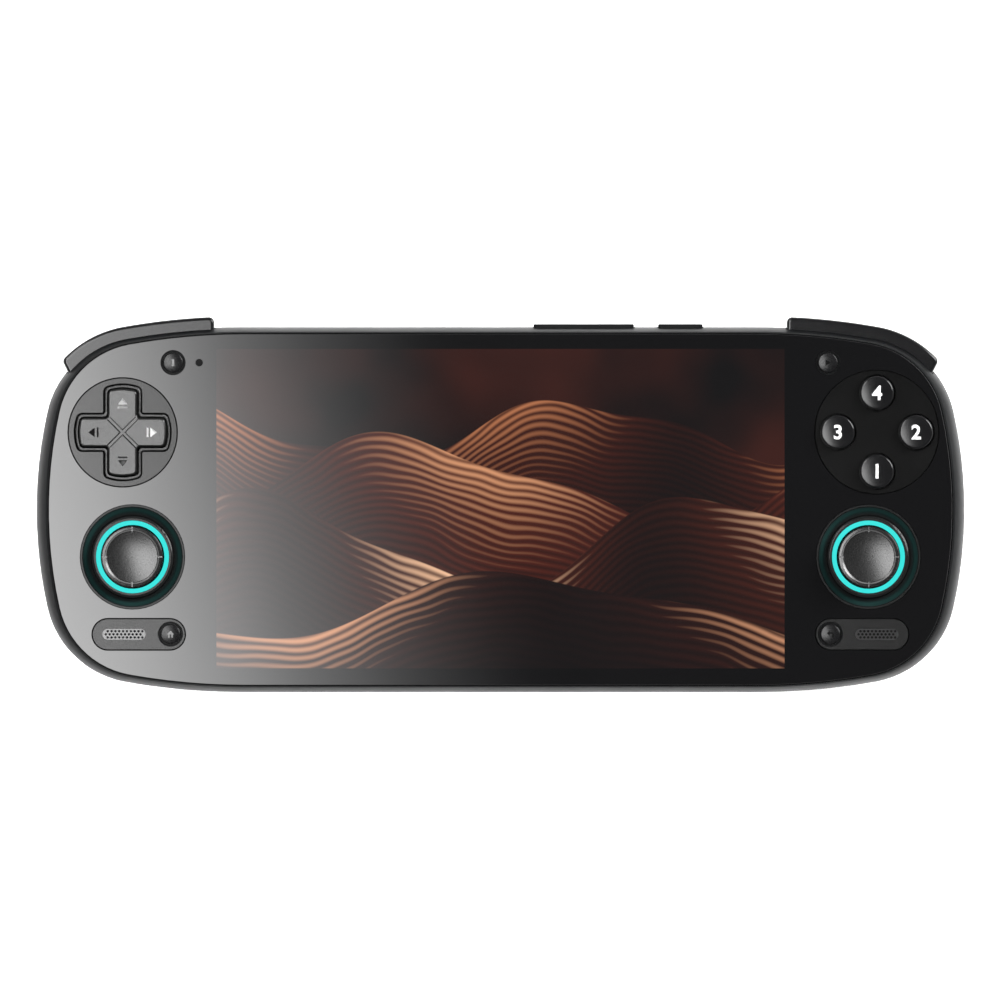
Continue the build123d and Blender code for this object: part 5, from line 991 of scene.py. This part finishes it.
@dataclass(frozen=True)
class RoundPiece:
    """Finish whose colour and gloss change with the distance from its stick's middle."""

    name: str
    rings_mm: tuple[tuple[float, str], ...]
    roughness: float
    ior: float
    grain_mm: float
    grain_depth_mm: float
    tick_mm: float = 0.0
    tick_reach_mm: tuple[float, float] = (0.0, 0.0)
    tick_colour: str = "000000"
    matt_mm: tuple[float, float] = (0.0, 0.0)
    matt_roughness: float = 0.9
    roughness_change: float = 0.06
    centre_x_mm: float = 78.9
    centre_y_mm: float = -11.3

    def between(
        self, tree: bpy.types.NodeTree, radius: bpy.types.NodeSocket, reach_mm: tuple[float, float]
    ) -> bpy.types.NodeSocket:
        """Pick out a ring.

        Args:
            tree: Node tree of the material.
            radius: Distance from the stick's middle.
            reach_mm: The ring's inner and outer radius, in millimetres.

        Returns:
            1 on the ring, 0 off it.
        """
        inner, outer = reach_mm
        past = add_node(tree, "ShaderNodeMath", {"operation": "GREATER_THAN"}, {0: radius, 1: inner * MM})
        before = add_node(tree, "ShaderNodeMath", {"operation": "LESS_THAN"}, {0: radius, 1: outer * MM})
        both = add_node(
            tree, "ShaderNodeMath", {"operation": "MULTIPLY"}, {0: past.outputs[0], 1: before.outputs[0]}
        )
        return both.outputs[0]

    def build(self) -> bpy.types.Material:
        """Build the material from rings, ticks and grain.

        Returns:
            The material.
        """
        material, tree = new_tree(self.name)
        place = add_node(tree, "ShaderNodeTexCoord").outputs["Object"]
        axes = add_node(tree, "ShaderNodeSeparateXYZ", {}, {0: place})
        across = add_node(tree, "ShaderNodeMath", {"operation": "ABSOLUTE"}, {0: axes.outputs[0]})
        x = add_node(
            tree,
            "ShaderNodeMath",
            {"operation": "SUBTRACT"},
            {0: across.outputs[0], 1: self.centre_x_mm * MM},
        )
        y = add_node(
            tree, "ShaderNodeMath", {"operation": "SUBTRACT"}, {0: axes.outputs[1], 1: self.centre_y_mm * MM}
        )
        flat = add_node(tree, "ShaderNodeCombineXYZ", {}, {0: x.outputs[0], 1: y.outputs[0]})
        radius = add_node(tree, "ShaderNodeVectorMath", {"operation": "LENGTH"}, {0: flat.outputs[0]})
        first, last = self.rings_mm[0][0], self.rings_mm[-1][0]
        share = add_node(
            tree,
            "ShaderNodeMapRange",
            {},
            {"Value": radius.outputs["Value"], "From Min": first * MM, "From Max": last * MM},
        )
        ramp = add_node(tree, "ShaderNodeValToRGB", {}, {0: share.outputs[0]})
        fill_ramp(ramp, [((at - first) / (last - first), linear(colour)) for at, colour in self.rings_mm])
        nearest = []
        for axis in (x, y):
            size = add_node(tree, "ShaderNodeMath", {"operation": "ABSOLUTE"}, {0: axis.outputs[0]})
            nearest.append(size.outputs[0])
        least = add_node(tree, "ShaderNodeMath", {"operation": "MINIMUM"}, {0: nearest[0], 1: nearest[1]})
        on_axis = add_node(
            tree,
            "ShaderNodeMath",
            {"operation": "LESS_THAN"},
            {0: least.outputs[0], 1: self.tick_mm / 2 * MM},
        )
        within = self.between(tree, radius.outputs["Value"], self.tick_reach_mm)
        tick = add_node(tree, "ShaderNodeMath", {"operation": "MULTIPLY"}, {0: within, 1: on_axis.outputs[0]})
        colour = add_node(
            tree,
            "ShaderNodeMix",
            {"data_type": "RGBA"},
            {0: tick.outputs[0], 6: ramp.outputs[0], 7: linear(self.tick_colour)},
        )
        fine = add_node(
            tree,
            "ShaderNodeTexNoise",
            {},
            {"Vector": place, "Scale": 1 / (self.grain_mm * MM), "Detail": FINE_DETAIL},
        )
        bump = add_node(
            tree,
            "ShaderNodeBump",
            {},
            {"Height": fine.outputs["Fac"], "Strength": BUMP_STRENGTH, "Distance": self.grain_depth_mm * MM},
        )
        gloss = add_node(
            tree,
            "ShaderNodeMapRange",
            {},
            {
                "Value": fine.outputs["Fac"],
                "To Min": self.roughness - self.roughness_change,
                "To Max": self.roughness + self.roughness_change,
            },
        )
        matt = self.between(tree, radius.outputs["Value"], self.matt_mm)
        roughness = add_node(
            tree, "ShaderNodeMix", {}, {0: matt, 2: gloss.outputs[0], 3: self.matt_roughness}
        )
        surface = add_node(
            tree,
            "ShaderNodeBsdfPrincipled",
            {},
            {
                "Base Color": colour.outputs[2],
                "Roughness": roughness.outputs[0],
                "IOR": self.ior,
                "Normal": bump.outputs[0],
            },
        )
        add_node(tree, "ShaderNodeOutputMaterial", {}, {"Surface": surface.outputs[0]})
        return material


# Moulded ABS bezel: charcoal collar that lightens to a painted highlight on its shoulder, black groove, dark
# band with the light guide's teal glow painted on, polished outer rim
BEZEL_ABS = RoundPiece(
    "moulded_abs_bezel_with_painted_glow_and_highlight",
    (
        (7.0, "0C0D0D"),
        # Painted highlight on the collar's shoulder
        (8.5, "181919"),
        (9.0, "030303"),
        # The light guide's teal glow, painted on the dark band
        (9.5, "010C0C"),
        (10.0, "082523"),
        (10.55, "071E1D"),
        (10.68, "0F1010"),
        (11.15, "0F1010"),
    ),
    roughness=0.22,
    ior=1.27,
    grain_mm=0.3,
    grain_depth_mm=0.003,
    matt_mm=(9.0, 10.65),
)
# Rubber-coated stick cap: speckled matt dish, black seam, polished rim lightened with a painted highlight and
# carrying four moulded ticks
CAP_RUBBER = RoundPiece(
    "rubber_coated_stick_cap_with_painted_rim_highlight",
    (
        (0.0, "161616"),
        (5.32, "161616"),
        (5.4, "020202"),
        # Painted highlight along the rim
        (5.5, "020202"),
        (5.56, "565656"),
        (5.74, "565656"),
        (5.84, "151515"),
        (8.5, "0C0C0C"),
    ),
    roughness=0.26,
    ior=1.5,
    grain_mm=0.3,
    grain_depth_mm=0.016,
    tick_mm=0.16,
    tick_reach_mm=(5.3, 6.45),
    tick_colour="6A6A6A",
)


@dataclass
class Sticks:
    """Analogue sticks with their lit rings and the mechanism under them."""

    def build(self) -> None:
        """Dress both sticks."""
        put_material("stick_bezels", BEZEL_ABS.build())
        dress(["light_rings"], LIGHT_GUIDE)
        dress(["stick_housings"], PLATED_STEEL)
        cap = CAP_RUBBER.build()
        for side in ("left", "right"):
            put_material(f"{side}_stick_cap", cap)
            dress([f"{side}_stick_shaft"], PLATED_STEEL)
            dress([f"{side}_stick_yoke", f"{side}_stick_saddle"], ACETAL)


@dataclass
class EdgeControls:
    """Shoulder buttons, triggers, volume rocker and power button."""

    def build(self) -> None:
        """Dress the controls on the top edge."""
        for side in ("left", "right"):
            dress([f"{side}_shoulder_button", f"{side}_trigger"], KEY_ABS)
            dress([f"{side}_trigger_spring"], PLATED_STEEL)
        dress(["volume_rocker", "power_button"], FRAME_LACQUER)


@dataclass
class Interior:
    """Boards, cooling, battery and ports."""

    def build(self) -> None:
        """Dress what lies inside the shells."""
        dress(["main_board", "small_boards"], SOLDER_MASK)
        dress(["shield_can", "usb_socket", "card_reader"], PLATED_STEEL)
        dress(["fin_stack"], STAMPED_ALUMINIUM)
        dress(["heat_pipe"], COPPER_PIPE)
        dress(["fan_housing", "fan_rotor", "headphone_jack"], BLACK_NYLON)
        dress(["battery"], BATTERY_FILM)


@dataclass
class Studio:
    """White floor, softbox over the left of the console, two lamps and the camera."""

    floor_half: float = 3.0
    camera_height: float = 5.0
    picture_span: float = 0.2144
    picture_plane: float = 0.019
    centre: tuple[float, float] = (-0.0001, 0.0009)
    softbox_height: float = 1.8
    softbox_left: float = -0.9
    softbox_y: tuple[float, float] = (-0.35, 0.7)
    softbox_slant: float = 0.262
    softbox_fade: tuple[float, float] = (-0.14, 0.01)
    softbox_power: float = 12.5
    softbox_fall: tuple[tuple[float, float], ...] = (
        (0.0, 1.0),
        (0.15, 0.81),
        (0.25, 0.65),
        (0.36, 0.47),
        (0.47, 0.27),
        (0.64, 0.106),
        (0.74, 0.05),
        (0.83, 0.02),
        (0.88, 0.004),
        (1.0, 0.0),
    )
    glow_share: float = 0.8
    floor_colour: str = "F4F4F4"
    sky: tuple[tuple[float, float], ...] = ((0.0, 1.0), (0.45, 0.5), (0.97, 0.12))
    sky_strength: float = 0.55
    clip_end: float = 20.0
    key_place: tuple[float, float, float] = (-0.9, 0.9, 1.3)
    key_size: float = 0.5
    key_watts: float = 9.0
    rim_place: tuple[float, float, float] = (1.2, 0.7, 0.8)
    rim_size: float = 0.8
    rim_watts: float = 40.0

    def plane(self, name: str, corners: list[tuple[float, float]], z: float) -> bpy.types.Object:
        """Make a flat face of the studio.

        Args:
            name: Its name.
            corners: Its corners in plan, in order.
            z: Its height.

        Returns:
            The object, marked as part of the stage.
        """
        shape = bmesh.new()
        shape.faces.new([shape.verts.new((x, y, z)) for x, y in corners])
        mesh = bpy.data.meshes.new(name)
        shape.to_mesh(mesh)
        shape.free()
        piece = bpy.data.objects.new(name, mesh)
        bpy.context.collection.objects.link(piece)
        return piece

    def floor(self) -> None:
        """White floor that keeps the console's shadow."""
        half = self.floor_half
        piece = self.plane("floor", [(-half, -half), (half, -half), (half, half), (-half, half)], 0.0)
        material, tree = new_tree("white_studio_floor")
        path = add_node(tree, "ShaderNodeLightPath")
        seen = add_node(
            tree,
            "ShaderNodeMath",
            {"operation": "MAXIMUM"},
            {0: path.outputs["Is Camera Ray"], 1: path.outputs["Is Glossy Ray"]},
        )
        seen_all = add_node(
            tree,
            "ShaderNodeMath",
            {"operation": "MAXIMUM"},
            {0: seen.outputs[0], 1: path.outputs["Is Transmission Ray"]},
        )
        matt = add_node(tree, "ShaderNodeBsdfDiffuse", {}, {"Color": linear(self.floor_colour)})
        strength = add_node(
            tree, "ShaderNodeMath", {"operation": "MULTIPLY"}, {0: seen_all.outputs[0], 1: self.glow_share}
        )
        glow = add_node(
            tree, "ShaderNodeEmission", {}, {"Color": (1, 1, 1, 1), "Strength": strength.outputs[0]}
        )
        both = add_node(tree, "ShaderNodeAddShader", {}, {0: matt.outputs[0], 1: glow.outputs[0]})
        add_node(tree, "ShaderNodeOutputMaterial", {}, {"Surface": both.outputs[0]})
        piece.data.materials.append(material)

    def softbox(self) -> None:
        """Big softbox over the left side: the glass mirrors it as a grey sweep that fades along a slant."""
        low, high = self.softbox_y
        fade_start, fade_end = self.softbox_fade
        corners = [
            (self.softbox_left, high),
            (self.softbox_left, low),
            (fade_end - self.softbox_slant * low, low),
            (fade_end - self.softbox_slant * high, high),
        ]
        piece = self.plane("softbox", corners, self.softbox_height)
        piece.visible_camera = False
        piece.visible_shadow = False
        material, tree = new_tree("softbox_cloth")
        place = add_node(tree, "ShaderNodeTexCoord").outputs["Object"]
        axes = add_node(tree, "ShaderNodeSeparateXYZ", {}, {0: place})
        along = add_node(
            tree,
            "ShaderNodeMath",
            {"operation": "MULTIPLY_ADD"},
            {0: axes.outputs[1], 1: self.softbox_slant, 2: axes.outputs[0]},
        )
        share = add_node(
            tree,
            "ShaderNodeMapRange",
            {},
            {"Value": along.outputs[0], "From Min": fade_start, "From Max": fade_end},
        )
        ramp = add_node(tree, "ShaderNodeValToRGB", {}, {0: share.outputs[0]})
        fill_ramp(ramp, [(at, (light, light, light, 1.0)) for at, light in self.softbox_fall])
        glow = add_node(
            tree, "ShaderNodeEmission", {}, {"Color": ramp.outputs[0], "Strength": self.softbox_power}
        )
        add_node(tree, "ShaderNodeOutputMaterial", {}, {"Surface": glow.outputs[0]})
        piece.data.materials.append(material)

    def lamp(self, name: str, place: tuple[float, float, float], size: float, power: float) -> None:
        """Hang an area lamp that points at the console.

        Args:
            name: Its name.
            place: Where it hangs.
            size: Its width.
            power: Its power in watts.
        """
        data = bpy.data.lights.new(name, "AREA")
        data.size = size
        data.energy = power
        lamp = bpy.data.objects.new(name, data)
        lamp.location = place
        lamp.rotation_euler = (-Vector(place)).to_track_quat("-Z", "Y").to_euler()
        bpy.context.collection.objects.link(lamp)

    def world(self) -> None:
        """White all round for the camera, and a sky that is dark overhead for what the glass mirrors."""
        world = bpy.data.worlds.new("studio")
        bpy.context.scene.world = world
        world.use_nodes = True
        tree = world.node_tree
        tree.nodes.clear()
        path = add_node(tree, "ShaderNodeLightPath")
        place = add_node(tree, "ShaderNodeTexCoord").outputs["Generated"]
        axes = add_node(tree, "ShaderNodeSeparateXYZ", {}, {0: place})
        ramp = add_node(tree, "ShaderNodeValToRGB", {}, {0: axes.outputs[2]})
        fill_ramp(ramp, [(at, (light, light, light, 1.0)) for at, light in self.sky])
        around = add_node(
            tree, "ShaderNodeBackground", {}, {"Color": ramp.outputs[0], "Strength": self.sky_strength}
        )
        white = add_node(tree, "ShaderNodeBackground", {}, {"Color": (1, 1, 1, 1), "Strength": 1.0})
        shown = add_node(
            tree,
            "ShaderNodeMixShader",
            {},
            {0: path.outputs["Is Camera Ray"], 1: around.outputs[0], 2: white.outputs[0]},
        )
        add_node(tree, "ShaderNodeOutputWorld", {}, {"Surface": shown.outputs[0]})

    def camera(self) -> None:
        """Long lens that looks straight down at the console."""
        data = bpy.data.cameras.new("camera")
        data.lens = data.sensor_width * (self.camera_height - self.picture_plane) / self.picture_span
        data.clip_end = self.clip_end
        camera = bpy.data.objects.new("camera", data)
        camera.location = (self.centre[0], self.centre[1], self.camera_height)
        bpy.context.collection.objects.link(camera)
        bpy.context.scene.camera = camera

    def build(self) -> None:
        """Set up the studio."""
        self.floor()
        self.softbox()
        self.lamp("key_lamp", self.key_place, self.key_size, self.key_watts)
        self.lamp("rim_lamp", self.rim_place, self.rim_size, self.rim_watts)
        self.world()
        self.camera()


def main() -> None:
    """Build every sub-assembly's looks, then the studio."""
    logging.basicConfig(level=logging.INFO)
    assemblies = (
        Shells(),
        Screen(),
        DirectionPad(),
        FaceButtons(),
        SmallKeys(),
        Sticks(),
        EdgeControls(),
        Interior(),
        Studio(),
    )
    for assembly in assemblies:
        assembly.build()
        log.info("built %s", type(assembly).__name__)
    bpy.context.scene.view_settings.view_transform = "Standard"


if __name__ == "__main__":
    main()
